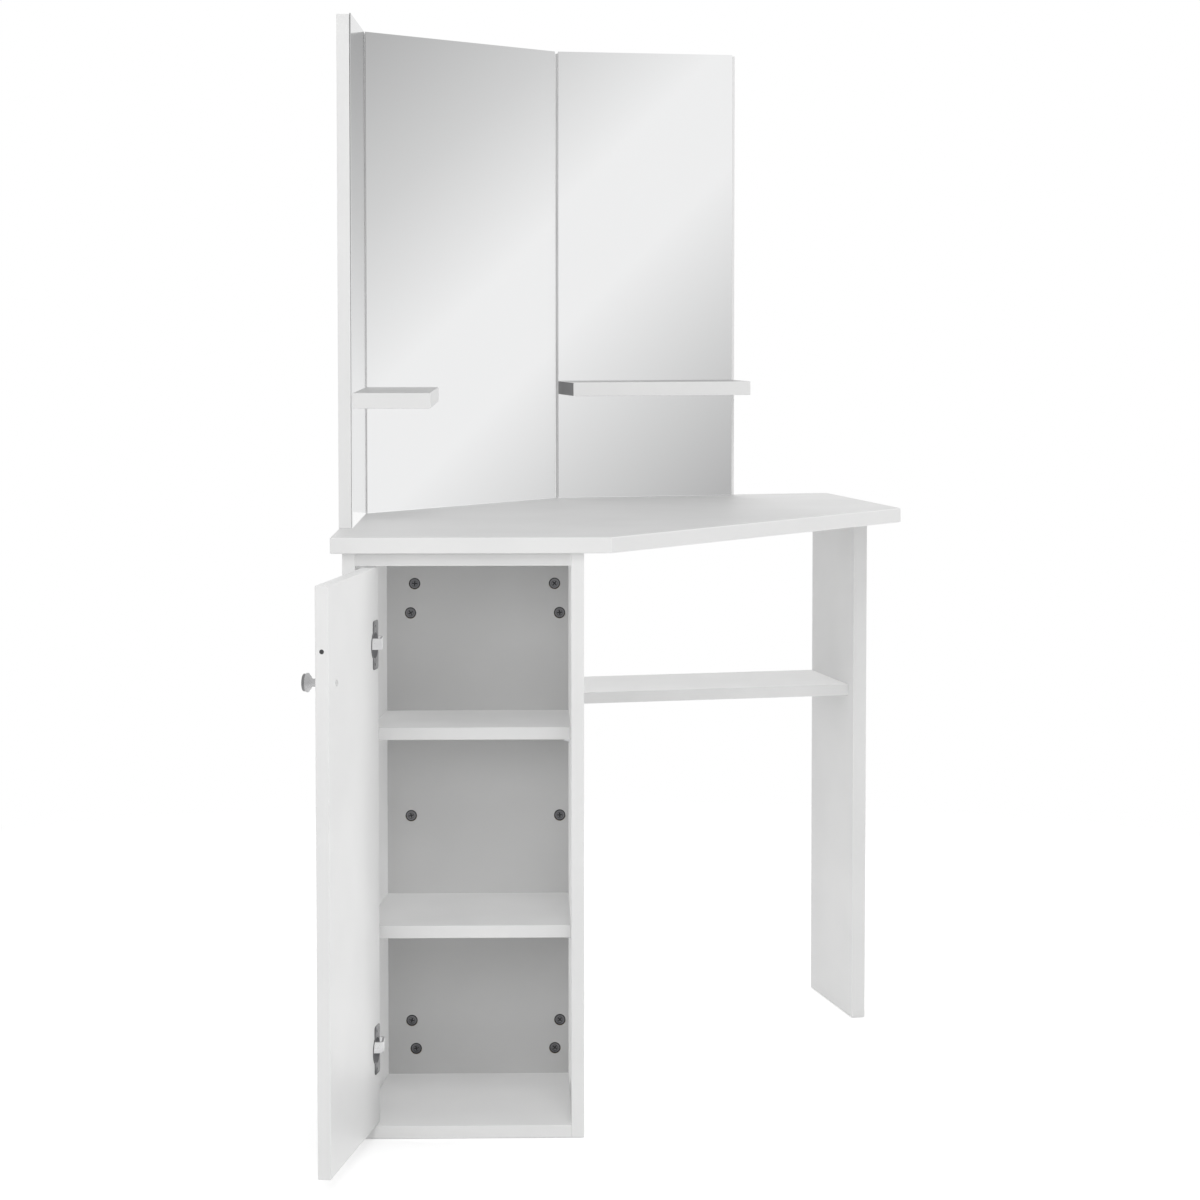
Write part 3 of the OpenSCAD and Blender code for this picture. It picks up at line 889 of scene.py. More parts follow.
@dataclass(frozen=True)
class MirrorWithPaintedReflection:
    """Silvered glass that reflects its surroundings, with a soft slanted light band painted into its colour:
    a painted reflection of one large studio light.
    """

    name: str
    across: Vector
    start: Vector
    band: PaintedReflectionBand
    reflection_tones: tuple[Point2, ...] = (
        (0.0, 0.440), (0.22, 0.627), (0.44, 0.860), (0.60, 0.860), (0.80, 0.655), (1.0, 0.462),
    )
    roughness: float = 0.10

    def build(self) -> Material:
        """Makes the material.

        Returns:
            The material.
        """
        n = FinishNodes(self.name)
        slant = self.across * self.band.per_side + DOWN * self.band.per_down
        off = n.add("ShaderNodeVectorMath", {0: n.at, 1: self.start}, operation="SUBTRACT").outputs[0]
        run = n.add("ShaderNodeVectorMath", {0: off, 1: slant}, operation="DOT_PRODUCT").outputs["Value"]
        moved = n.add("ShaderNodeMath", {0: run, 1: self.band.offset}, operation="ADD").outputs[0]
        # the ramp paints the reflected light band into the base colour
        ramp = n.add("ShaderNodeValToRGB", {"Fac": moved})
        stops = ramp.color_ramp.elements
        stops.remove(stops[1])
        for i, (place, tone) in enumerate(self.reflection_tones):
            stop = stops.new(place) if i else stops[0]
            stop.position = place
            stop.color = (tone, tone * 1.003, tone * 1.006, 1.0)
        return n.surface({
            "Base Color": ramp.outputs["Color"],
            "Metallic": 1.0,
            "Roughness": n.span(n.noise(5.0, 2.0), self.roughness, self.roughness + 0.02),
            "Specular IOR Level": 0.5,
        })


@dataclass(frozen=True)
class GlassEdgeFinish:
    """Cut and polished edge of the mirror glass: pale with a faint green."""

    name: str = "glass_edge"
    light: Color = (0.54, 0.58, 0.56)
    dark: Color = (0.44, 0.48, 0.46)

    def build(self) -> Material:
        """Makes the material.

        Returns:
            The material.
        """
        n = FinishNodes(self.name)
        grain = n.noise(300.0, 2.0)
        return n.surface({
            "Base Color": n.mottled(grain, self.dark, self.light),
            "Roughness": n.span(grain, 0.14, 0.24),
            "Specular IOR Level": 0.7,
        })


@dataclass(frozen=True)
class MetalFinish:
    """Metal with a grain, a little soiling, and painted darkening on the faces that the mesh marks: painted
    shade in hollows and painted dark reflections.
    """

    name: str
    light: Color
    dark: Color
    roughness: float
    grain_scale: float = 260.0
    bump: float = 0.06
    # colour of the painted shade and painted dark reflections on the marked faces
    recess: Color = (0.03, 0.03, 0.032)

    def build(self) -> Material:
        """Makes the material.

        Returns:
            The material.
        """
        n = FinishNodes(self.name)
        grain = n.noise(self.grain_scale, 4.0)
        tone = n.mottled(n.noise(60.0, 2.0), self.light, self.dark)
        # the mesh's marks for painted shade and painted dark reflections
        mark = n.add("ShaderNodeAttribute", attribute_name="recess").outputs["Fac"]
        return n.surface({
            "Base Color": n.mixed(mark, tone, self.recess),
            "Metallic": 1.0,
            "Roughness": n.span(grain, self.roughness - 0.05, self.roughness + 0.09),
            "Normal": n.bump(grain, self.bump, 0.0002),
        })


@dataclass(frozen=True)
class BeechFinish:
    """Bare beech with fine grain and short flecks."""

    name: str = "beech"
    light: Color = (0.74, 0.55, 0.34)
    dark: Color = (0.60, 0.41, 0.22)

    def build(self) -> Material:
        """Makes the material.

        Returns:
            The material.
        """
        n = FinishNodes(self.name)
        along = n.add("ShaderNodeMapping", {"Vector": n.at, "Scale": (0.15, 1.0, 1.0)}).outputs["Vector"]
        grain = n.noise(700.0, 4.0, along)
        return n.surface({
            "Base Color": n.mottled(grain, self.dark, self.light),
            "Roughness": 0.75,
            "Normal": n.bump(grain, 0.3, 0.0003),
        })


@dataclass(frozen=True)
class PlasticFinish:
    """Dark moulded plastic with a fine spark-eroded texture."""

    name: str = "dark_plastic"
    light: Color = (0.060, 0.060, 0.063)
    dark: Color = (0.040, 0.040, 0.043)

    def build(self) -> Material:
        """Makes the material.

        Returns:
            The material.
        """
        n = FinishNodes(self.name)
        grain = n.noise(1500.0, 3.0)
        return n.surface({
            "Base Color": n.mottled(grain, self.light, self.dark),
            "Roughness": n.span(grain, 0.42, 0.56),
            "Specular IOR Level": 0.4,
            "Normal": n.bump(grain, 0.25, 0.0002),
        })


class Palette:
    """The finishes that the sub-assemblies share.

    The photograph's studio lights some faces less than this one does. The five darker laminate finishes below
    the edge band are painted shade on those faces: the tabletop's, the back's and shelves', the mirror
    boards' ends, the ledges' tops and the ledges' inner ends.
    """

    def __init__(self) -> None:
        """Builds every finish."""
        self.face = LaminateFinish("laminate_face").build()
        self.band = LaminateFinish(
            "edge_band", (0.815, 0.815, 0.812), (0.795, 0.795, 0.793), roughness=0.30, pearl=0.025
        ).build()
        # painted shade: darker laminate for the tabletop's top and front faces and the leg panel's front edge
        self.table_painted_shade = LaminateFinish(
            "table_face_painted_shade", (0.735, 0.735, 0.733), (0.712, 0.713, 0.711), roughness=0.42, specular=0.34
        ).build()
        # painted shade: darker laminate for the back panel, the shelf tops and the top board's front edge
        self.back = LaminateFinish("back_face_painted_shade", (0.705, 0.705, 0.703), (0.672, 0.673, 0.671)).build()
        # painted shade: darker laminate for the mirror boards' ends in the gaps between the mirrors
        self.fold = LaminateFinish("fold_end_painted_shade", (0.600, 0.600, 0.600), (0.560, 0.560, 0.561)).build()
        # painted shade on the ledges' tops
        self.ledge_top = LaminateFinish("ledge_top", (0.500, 0.500, 0.498), (0.470, 0.470, 0.469)).build()
        # painted shade, nearly black, on the ledges' inner ends
        self.ledge_end = LaminateFinish("ledge_end", (0.105, 0.105, 0.107), (0.070, 0.070, 0.073)).build()
        self.core = CoreFinish().build()
        self.steel = MetalFinish("zinc_plate", (0.62, 0.63, 0.64), (0.50, 0.51, 0.52), 0.32).build()
        self.hinge = MetalFinish(
            "nickel_plate", (0.66, 0.66, 0.66), (0.58, 0.58, 0.59), 0.30, grain_scale=180.0, bump=0.03
        ).build()
        # painted dark reflection: a much darker copy of the nickel plate for the cups and their screws
        self.cup = MetalFinish(
            "drawn_steel", (0.15, 0.15, 0.155), (0.10, 0.10, 0.105), 0.34, grain_scale=180.0, bump=0.03
        ).build()
        self.cap = MetalFinish(
            "bright_zinc", (0.68, 0.68, 0.68), (0.62, 0.62, 0.62), 0.40, grain_scale=300.0, bump=0.03
        ).build()
        self.cam = MetalFinish(
            "die_cast_zinc", (0.15, 0.15, 0.155), (0.105, 0.105, 0.11), 0.44, grain_scale=420.0, bump=0.12
        ).build()
        self.knob = MetalFinish(
            "satin_nickel", (0.46, 0.46, 0.465), (0.38, 0.38, 0.385), 0.24, grain_scale=300.0, bump=0.03
        ).build()
        self.beech = BeechFinish().build()
        self.catch = PlasticFinish().build()
        self.glass_edge = GlassEdgeFinish().build()


# ---- Putting pieces on the frame --------------------------------------------------------------------------


MIRRORS = ("left_mirror", "centre_mirror", "right_mirror")


def clear_mirrors() -> None:
    """Takes all but the mirrors out of reflections, because the photograph's mirrors show plain light."""
    for obj in bpy.context.scene.objects:
        if obj.type == "MESH" and not obj.name.startswith(MIRRORS):
            obj.visible_glossy = False


def paint(obj: Object, *materials: Material) -> Object:
    """Gives an object its materials in the order of its material numbers.

    Args:
        obj: The object.
        materials: The materials.

    Returns:
        The same object.
    """
    obj.data.materials.clear()
    for material in materials:
        obj.data.materials.append(material)
    return obj


def retone(obj: Object, way: Vector, material: Material) -> None:
    """Gives the faces that look one way a finish of their own.

    Args:
        obj: The object.
        way: The direction that the faces look in.
        material: Their finish.
    """
    obj.data.materials.append(material)
    for polygon in obj.data.polygons:
        if polygon.normal.dot(way) > SAME_WAY:
            polygon.material_index = len(obj.data.materials) - 1


def mark_painted_dark(obj: Object, test: Callable[[Vector, Vector], bool], share: float = 1.0) -> None:
    """Marks faces, so that the metal is darker there: painted shade, and on the knob a painted dark
    reflection.

    Args:
        obj: The object.
        test: Picks a face by its middle, in millimetres, and its normal.
        share: How dark the faces are, from 0 to 1.
    """
    layer = obj.data.attributes.new("recess", "FLOAT", "FACE")
    marks = [share if test(face.center / MM, face.normal) else 0.0 for face in obj.data.polygons]
    layer.data.foreach_set("value", marks)


def place_piece(obj: Object, body: Body, node: str) -> Object:
    """Puts a finished piece on its body.

    Args:
        obj: The piece.
        body: The CAD body that it rides on.
        node: The CAD node that it stands for.

    Returns:
        The piece.
    """
    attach(obj, body.value)
    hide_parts(node)
    LOG.info("%s: %d faces, on %s", obj.name, len(obj.data.polygons), body.value)
    return obj


def carry_over(node: str, material: Material) -> None:
    """Finishes a CAD node that stays as it is.

    Args:
        node: The node's name.
        material: Its material.
    """
    obj = frame["nodes"][node]
    paint(obj, material)
    LOG.info("%s: carried over", node)


# ---- Boards, mirrors and ledges ---------------------------------------------------------------------------


@dataclass
class Board:
    """A laminated board cut to a plan outline, with eased edges and banded ends."""

    node: str
    plan: Plan
    place: Place
    outline: Sequence[Point2]
    low: float
    high: float
    wide: Vector
    edge: float = 0.7
    body: Body = Body.CARCASS

    def build(self, palette: Palette, cutters: Sequence[Object] = ()) -> Object:
        """Builds and dresses the board.

        Args:
            palette: The shared finishes.
            cutters: Objects that are bored out of it.

        Returns:
            The board.
        """
        points = self.plan.outline(self.place, self.outline)
        mesh = prism(self.node + "_board", points, self.low * MM, self.high * MM, self.wide, self.edge * MM)
        obj = link(mesh, self.node + "_dressed")
        for part in (obj, *cutters):
            paint(part, palette.face, palette.band, palette.core)
        for cutter in cutters:
            for polygon in cutter.data.polygons:
                polygon.material_index = 2
        if cutters:
            carve(obj, cutters)
        return place_piece(obj, self.body, self.node)


@dataclass
class TableTop:
    """The six-sided tabletop, the leg panel and the angled shelf behind the knees."""

    plan: Plan
    leg_thick: float = 20.0
    leg_width: float = 205.0
    knee_low: float = 472.0
    knee_arm: float = 181.0
    knee_mid: float = 140.0
    top_edge: float = 1.2
    cam_bore: Bore = Bore(7.7, 12.1)

    def knee_outline(self) -> list[Point2]:
        """Works out the outline of the knee shelf.

        Returns:
            Its corners in the plan.
        """
        p = self.plan
        back, front = p.leg_back_gap, p.leg_back_gap + self.knee_arm
        in_leg, behind = p.overhang + self.leg_thick, p.overhang + p.cab_outer
        back_fold, front_fold = p.fold_point(back, back), p.fold_point(front, back + self.knee_mid)
        return [
            flipped(p.left_point(in_leg, back)), flipped(back_fold), back_fold,
            p.cabinet.plan(p.toe_in, p.cab_outer), p.left_point(behind, front), front_fold,
            flipped(front_fold), flipped(p.left_point(in_leg, front)),
        ]

    def build(self, palette: Palette) -> None:
        """Builds and dresses the three boards.

        Args:
            palette: The shared finishes.
        """
        p = self.plan
        left = [p.back_end, p.corner, p.front_end]
        hexagon = left[1:] + [flipped(point) for point in reversed(left)] + left[:1]
        under = bores(heads("mirror_screws", DOWN), p.screw_bore)
        board = Board("tabletop", p, TABLE, hexagon, p.side_height, p.top, UP, self.top_edge)
        top = board.build(palette, under)
        # painted shade on the tabletop's top and front faces
        for way in (UP, -BACK):
            retone(top, way, palette.table_painted_shade)
        leg = rectangle(0, 0, self.leg_width, self.leg_thick)
        panel = Board("leg_panel", p, p.leg, leg, 0, p.side_height, p.leg.way(0, 1)).build(palette)
        # painted shade on the leg panel's front edge
        retone(panel, p.leg.way(1, 0), palette.table_painted_shade)
        low, high = self.knee_low, self.knee_low + p.board
        cams = bores(near_height(heads("board_cam_locks", DOWN), low), self.cam_bore)
        Board("knee_shelf", p, TABLE, self.knee_outline(), low, high, UP).build(palette, cams)


@dataclass
class Cabinet:
    """The open cabinet: two sides, top, bottom, back panel and two loose shelves."""

    plan: Plan
    lower_top: float = 260.0
    lower_in: float = 45.0
    upper_top: float = 505.0
    upper_in: float = 95.0
    gap: float = 0.3
    back_edge: float = 0.3
    cam_bore: Bore = Bore(7.75, 12.1)

    def level(self, y0: float, y1: float, gap: float = 0.0) -> list[Point2]:
        """Works out the outline of a level board between the sides.

        Args:
            y0: Where it begins, in from the cabinet's front.
            y1: Where it ends.
            gap: The gap at its two sides and its back.

        Returns:
            Its corners in the cabinet's frame.
        """
        p = self.plan
        right, end = p.cab_right - gap, y1 - gap
        return [(p.wall_x(y0) + gap, y0), (right, y0), (right, end), (p.wall_x(end) + gap, end)]

    def build(self, palette: Palette) -> None:
        """Builds and dresses the cabinet's boards.

        Args:
            palette: The shared finishes.
        """
        p, cab = self.plan, self.plan.cabinet
        front, high = cab.way(0, -1), p.side_height
        left = [(0, 0), (p.wall_x0, 0), (p.toe_in + p.wall_x0, p.cab_outer), (p.toe_in, p.cab_outer)]
        right = rectangle(p.cab_right, 0, p.cabinet_width, p.cab_outer)
        Board("cabinet_left_side", p, cab, left, 0, high, p.left_side.way(1, 0)).build(palette)
        Board("cabinet_right_side", p, cab, right, 0, high, cab.way(1, 0)).build(palette)
        whole, top = self.level(0, p.cab_outer), high - p.board
        cams = heads("board_cam_locks", DOWN)
        above = bores(near_height(cams, top), self.cam_bore)
        above += bores(heads("table_screws", DOWN), p.screw_bore)
        below = bores(near_height(cams, 0.0), self.cam_bore)
        behind = bores(heads("back_cam_locks", front), self.cam_bore)
        board = Board("cabinet_top_board", p, cab, whole, top, high, UP).build(palette, above)
        # painted shadow of the tabletop's overhang on the top board's front edge
        retone(board, front, palette.back)
        Board("cabinet_bottom_board", p, cab, whole, 0, p.board, UP).build(palette, below)
        panel = self.level(p.cabinet_clear, p.cab_outer)
        board = Board("cabinet_back_panel", p, cab, panel, p.board, top, -front, self.back_edge)
        # painted shade on the back panel's front face
        retone(board.build(palette, behind), front, palette.back)
        for node, up, start in (
            ("lower_shelf", self.lower_top, self.lower_in), ("upper_shelf", self.upper_top, self.upper_in),
        ):
            outline = self.level(start, p.cabinet_clear, self.gap)
            # painted shade on the shelves' tops
            retone(Board(node, p, cab, outline, up - p.board, up, UP).build(palette), UP, palette.back)


@dataclass
class MirrorSet:
    """Three mirror boards with their glass, and the two ledges."""

    plan: Plan
    height: float = 659.0
    over: float = 2.0
    rim: float = 4.5
    glass_edge: float = 0.9
    ledge_depth: float = 100.0
    ledge_thick: float = 20.0
    ledge_up: float = 154.0
    centre_reflection: PaintedReflectionBand = PaintedReflectionBand(0.536, 0.874)
    left_reflection: PaintedReflectionBand = PaintedReflectionBand(0.10, 0.874)
    right_reflection: PaintedReflectionBand = PaintedReflectionBand(0.800, 0.842, 0.248)

    def board(self, word: str, place: Place, x0: float, x1: float, y: float) -> Board:
        """Lays out one mirror board.

        Args:
            word: Which mirror it is.
            place: The frame that it stands in.
            x0: Where it begins.
            x1: Where it ends.
            y: Where its back is.

        Returns:
            The board, not built yet.
        """
        p = self.plan
        outline, high = rectangle(x0, y - p.board, x1, y), p.top + self.height - self.over
        return Board(word + "_mirror_board", p, place, outline, p.top, high, place.way(0, 1))

    def glass(self, board: Board, band: PaintedReflectionBand, rim: float, palette: Palette) -> None:
        """Builds the sheet of mirror glass on a board.

        Args:
            board: The board, whose node's name and outline it follows.
            band: Its painted reflection band.
            rim: How far it stays in from the board's free end.
            palette: The shared finishes.
        """
        p, node = self.plan, board.node.replace("board", "glass")
        (x0, y), (x1, _) = board.outline[:2]
        points = p.outline(board.place, rectangle(x0 + rim, y - p.glass, x1, y))
        low, high, out = p.top * MM, (p.top + self.height) * MM, board.place.way(0, -1)
        across = side_of(out)
        first = min(points, key=lambda q: Vector((*q, 0)).dot(across))
        finish = MirrorWithPaintedReflection(node, across, Vector((*first, high)), band)
        sheet = link(prism(node + "_sheet", points, low, high, out, self.glass_edge * MM), node + "_dressed")
        place_piece(paint(sheet, finish.build(), palette.glass_edge), Body.CARCASS, node)

    def build(self, palette: Palette) -> None:
        """Builds and dresses the boards, the glass and the ledges.

        Args:
            palette: The shared finishes.
        """
        p = self.plan
        half = -p.fold[0] - p.corner_gap
        centre = self.board("centre", TABLE, -half, half, p.depth)
        obj = centre.build(palette)
        # painted shade on the centre board's ends, in the gaps between the mirrors
        for side in (-RIGHT, RIGHT):
            retone(obj, side, palette.fold)
        # each glass gets its own painted reflection band
        self.glass(centre, self.centre_reflection, 0.0, palette)
        for right, word, band in ((False, "left", self.left_reflection), (True, "right", self.right_reflection)):
            place = p.mirror(right)
            screws = heads("ledge_screws", place.way(0, 1))
            holes = bores([head for head in screws if (head[0].x > p.centre) == right], p.screw_bore)
            board = self.board(word, place, 0, p.side_mirror, 0)
            # painted shade on the side board's inner end, in the gap at the fold
            retone(board.build(palette, holes), place.way(1, 0), palette.fold)
            self.glass(board, band, self.rim, palette)
            low, thick = p.top + self.ledge_up, p.board + p.glass
            outline = rectangle(self.rim, -thick - self.ledge_depth, p.side_mirror, -thick)
            ledge = Board(word + "_ledge", p, place, outline, low, low + self.ledge_thick, UP).build(palette)
            # painted shade on the ledge's top and on its inner end
            retone(ledge, UP, palette.ledge_top)
            retone(ledge, place.way(1, 0), palette.ledge_end)


# ---- Fittings that repeat ---------------------------------------------------------------------------------


def numbers(sockets: Sequence[Socket]) -> list[Socket]:
    """Returns the plain number sockets that are in use."""
    return [socket for socket in sockets if socket.type == "VALUE" and socket.enabled]


class FittingTree:
    """The node tree that puts one fitting on every point and turns each by chance about its axis."""

    def __init__(self) -> None:
        """Builds the tree with its named inputs."""
        self.tree = bpy.data.node_groups.new("fittings_on_points", "GeometryNodeTree")
        face = self.tree.interface
        kinds = {
            "Geometry": "Geometry", "Fitting": "Object", "Size": "Float", "Spin": "Float", "Seed": "Int",
            "Material": "Material",
        }
        self.inputs = {
            name: face.new_socket(name=name, in_out="INPUT", socket_type="NodeSocket" + kind).identifier
            for name, kind in kinds.items()
        }
        face.new_socket(name="Geometry", in_out="OUTPUT", socket_type="NodeSocketGeometry")
        self.fill()

    def fill(self) -> None:
        """Adds the nodes and joins them."""
        n = Nodes(self.tree)
        start = n.add("NodeGroupInput").outputs
        out = n.add("GeometryNodeInputNamedAttribute", {"Name": "out"}, data_type="FLOAT_VECTOR")
        aims = {"Vector": out.outputs["Attribute"]}
        aim = n.add("FunctionNodeAlignRotationToVector", aims, axis="Z").outputs["Rotation"]
        chance = n.add("FunctionNodeRandomValue", {"Seed": start["Seed"]}, data_type="FLOAT")
        least, most = numbers(chance.inputs)[:2]
        least.default_value = 0.0
        self.tree.links.new(start["Spin"], most)
        turns = {"Axis": UP, "Angle": numbers(chance.outputs)[0]}
        about = n.add("FunctionNodeAxisAngleToRotation", turns).outputs["Rotation"]
        turns = {"Rotation": aim, "Rotate By": about}
        turn = n.add("FunctionNodeRotateRotation", turns, rotation_space="LOCAL").outputs["Rotation"]
        fitting = n.add("GeometryNodeObjectInfo", {"Object": start["Fitting"]}).outputs["Geometry"]
        put = n.add("GeometryNodeInstanceOnPoints", {
            "Points": start["Geometry"], "Instance": fitting, "Rotation": turn, "Scale": start["Size"],
        })
        real = n.add("GeometryNodeRealizeInstances", {"Geometry": put.outputs["Instances"]})
        parts = {"Geometry": real.outputs["Geometry"], "Material": start["Material"]}
        finish = n.add("GeometryNodeSetMaterial", parts)
        n.add("NodeGroupOutput", {"Geometry": finish.outputs["Geometry"]})

    def spread(
        self, name: str, points: Sequence[Head], fitting: Object, material: Material, seed: int
    ) -> Object:
        """Puts a fitting on every point.

        Args:
            name: The new object's name.
            points: The place of each fitting's face and the direction that it looks in.
            fitting: The fitting, which is removed afterwards.
            material: Its material.
            seed: The seed of the turns about its axis.

        Returns:
            One plain mesh object with all the fittings.
        """
        mesh = bpy.data.meshes.new(name)
        mesh.from_pydata([tuple(place) for place, _ in points], [], [])
        layer = mesh.attributes.new("out", "FLOAT_VECTOR", "POINT")
        layer.data.foreach_set("vector", [part for _, way in points for part in way])
        obj = link(mesh, name)
        modifier = obj.modifiers.new("fittings", "NODES")
        modifier.node_group = self.tree
        values = {"Fitting": fitting, "Size": 1.0, "Spin": math.tau, "Seed": seed, "Material": material}
        for key, value in values.items():
            modifier[self.inputs[key]] = value
        settled(obj)
        bpy.data.objects.remove(fitting)
        return obj


@dataclass(frozen=True)
class Row:
    """The fittings of one CAD node: the way they look, their shape, finish, slot and body."""

    node: str
    way: Vector | Way
    fitting: Object
    material: Material
    slot: Slot = Slot.STEEL
    body: Body = Body.CARCASS


@dataclass
class Fittings:
    """Cam locks, screws and shelf pins, each as one fitting that the node tree repeats."""

    plan: Plan
    tree: FittingTree
    proud: float = 0.15
    cam_r: float = 7.5
    cam_l: float = 12.0
    cam_rim: float = 0.9
    cam_groove: float = 0.7
    head_r: float = 4.0
    shank_r: float = 2.0
    pin_r: float = 2.5
    pin_l: float = 16.0
    first_seed: int = 3

    def cam(self) -> Object:
        """Makes a cam lock with a stepped rim and a driver cross, and painted shade on its outer ring, groove
        and cross.

        Returns:
            The cam lock, with its face at the origin.
        """
        r, top = self.cam_r, self.proud
        rim, groove, middle = top - self.cam_rim, top - self.cam_groove, top - 0.2
        obj = turned_part("cam", [
            (0, -self.cam_l), (r, -self.cam_l), (r, rim), (r - 1.3, rim), (r - 1.4, top - 0.1),
            (r - 1.7, top), (r - 3.3, top), (r - 3.5, groove), (r - 3.9, groove), (r - 4.0, middle),
            (0, middle),
        ], 48)
        carve(obj, cross_cutters(arm=3.3, half=0.95, low=-1.8, high=1.0))
        # painted shade on the cam's outer ring, groove and cross
        mark_painted_dark(obj, lambda at, _: -2.0 < at.z < top - 0.3 and at.xy.length < r - 0.02)
        return obj

    def screw(self, length: float) -> Object:
        """Makes a countersunk screw with a cross recess.

        Args:
            length: The screw's length in millimetres.

        Returns:
            The screw, with the rim of its head at the origin.
        """
        top, r, head = self.proud, self.shank_r, self.head_r
        obj = turned_part("screw", [
            (0, -length), (0.3, -length), (r, 3 - length), (r, -2.0), (head - 0.15, -0.1), (head, 0.0),
            (head - 0.2, top), (0, top),
        ], 32)
        carve(obj, cross_cutters(arm=0.58 * head, half=0.45, low=-1.5, high=1.0))
        # painted shade in the screw's cross
        mark_painted_dark(obj, lambda at, _: -1.9 < at.z < top - 0.3 and at.xy.length < 0.6 * head)
        return obj

    def pin(self) -> Object:
        """Makes a shelf pin with a rounded end and a groove.

        Returns:
            The pin, with its end at the origin.
        """
        r, neck = self.pin_r, self.pin_r - 0.2
        return turned_part("pin", [
            (0, -self.pin_l), (r, -self.pin_l), (r, -4.2), (neck, -4.0), (neck, -3.6), (r, -3.4), (r, -0.8),
            (r - 0.3, -0.25), (r - 0.9, 0.0), (0, 0.0),
        ], 32)

    def build(self, palette: Palette) -> None:
        """Builds and dresses every row of fittings.

        Args:
            palette: The shared finishes.
        """
        p, steel = self.plan, palette.steel
        out, across = p.left_side.way(1, 0), p.cabinet.way(1, 0)
        pins = islands("shelf_pins")
        middle = sum((pin[0] for pin in pins), Vector()) / len(pins)
        behind: Way = lambda at: p.mirror(at.x > p.centre).way(0, 1)
        off_side: Way = lambda at: out if (at - middle).dot(across) < 0 else -across
        rows = (
            Row("back_cam_locks", p.cabinet.way(0, -1), self.cam(), palette.cam, Slot.CAM),
            Row("board_cam_locks", DOWN, self.cam(), palette.cam, Slot.CAM),
            Row("mirror_screws", DOWN, self.screw(34.0), steel),
            Row("table_screws", DOWN, self.screw(30.0), steel),
            Row("ledge_screws", behind, self.screw(32.0), steel),
            Row("hinge_plate_screws", out, self.screw(14.0), steel),
            Row("hinge_arm_screws", out, self.screw(11.5), steel),
            # the cup screws carry the cups' painted dark reflection
            Row("hinge_cup_screws", p.door.way(0, 1), self.screw(12.2), palette.cup, body=Body.DOOR),
            Row("shelf_pins", off_side, self.pin(), steel),
        )
        for seed, row in enumerate(rows, self.first_seed):
            points = heads(row.node, row.way)
            obj = self.tree.spread(row.node + "_set", points, row.fitting, row.material, seed)
            place_piece(obj, row.body, row.node)
        for node in ("cam_bolts", "hinge_pins"):
            carry_over(node, steel)
        carry_over("dowels", palette.beech)


# ---- Hinges, door and knob --------------------------------------------------------------------------------


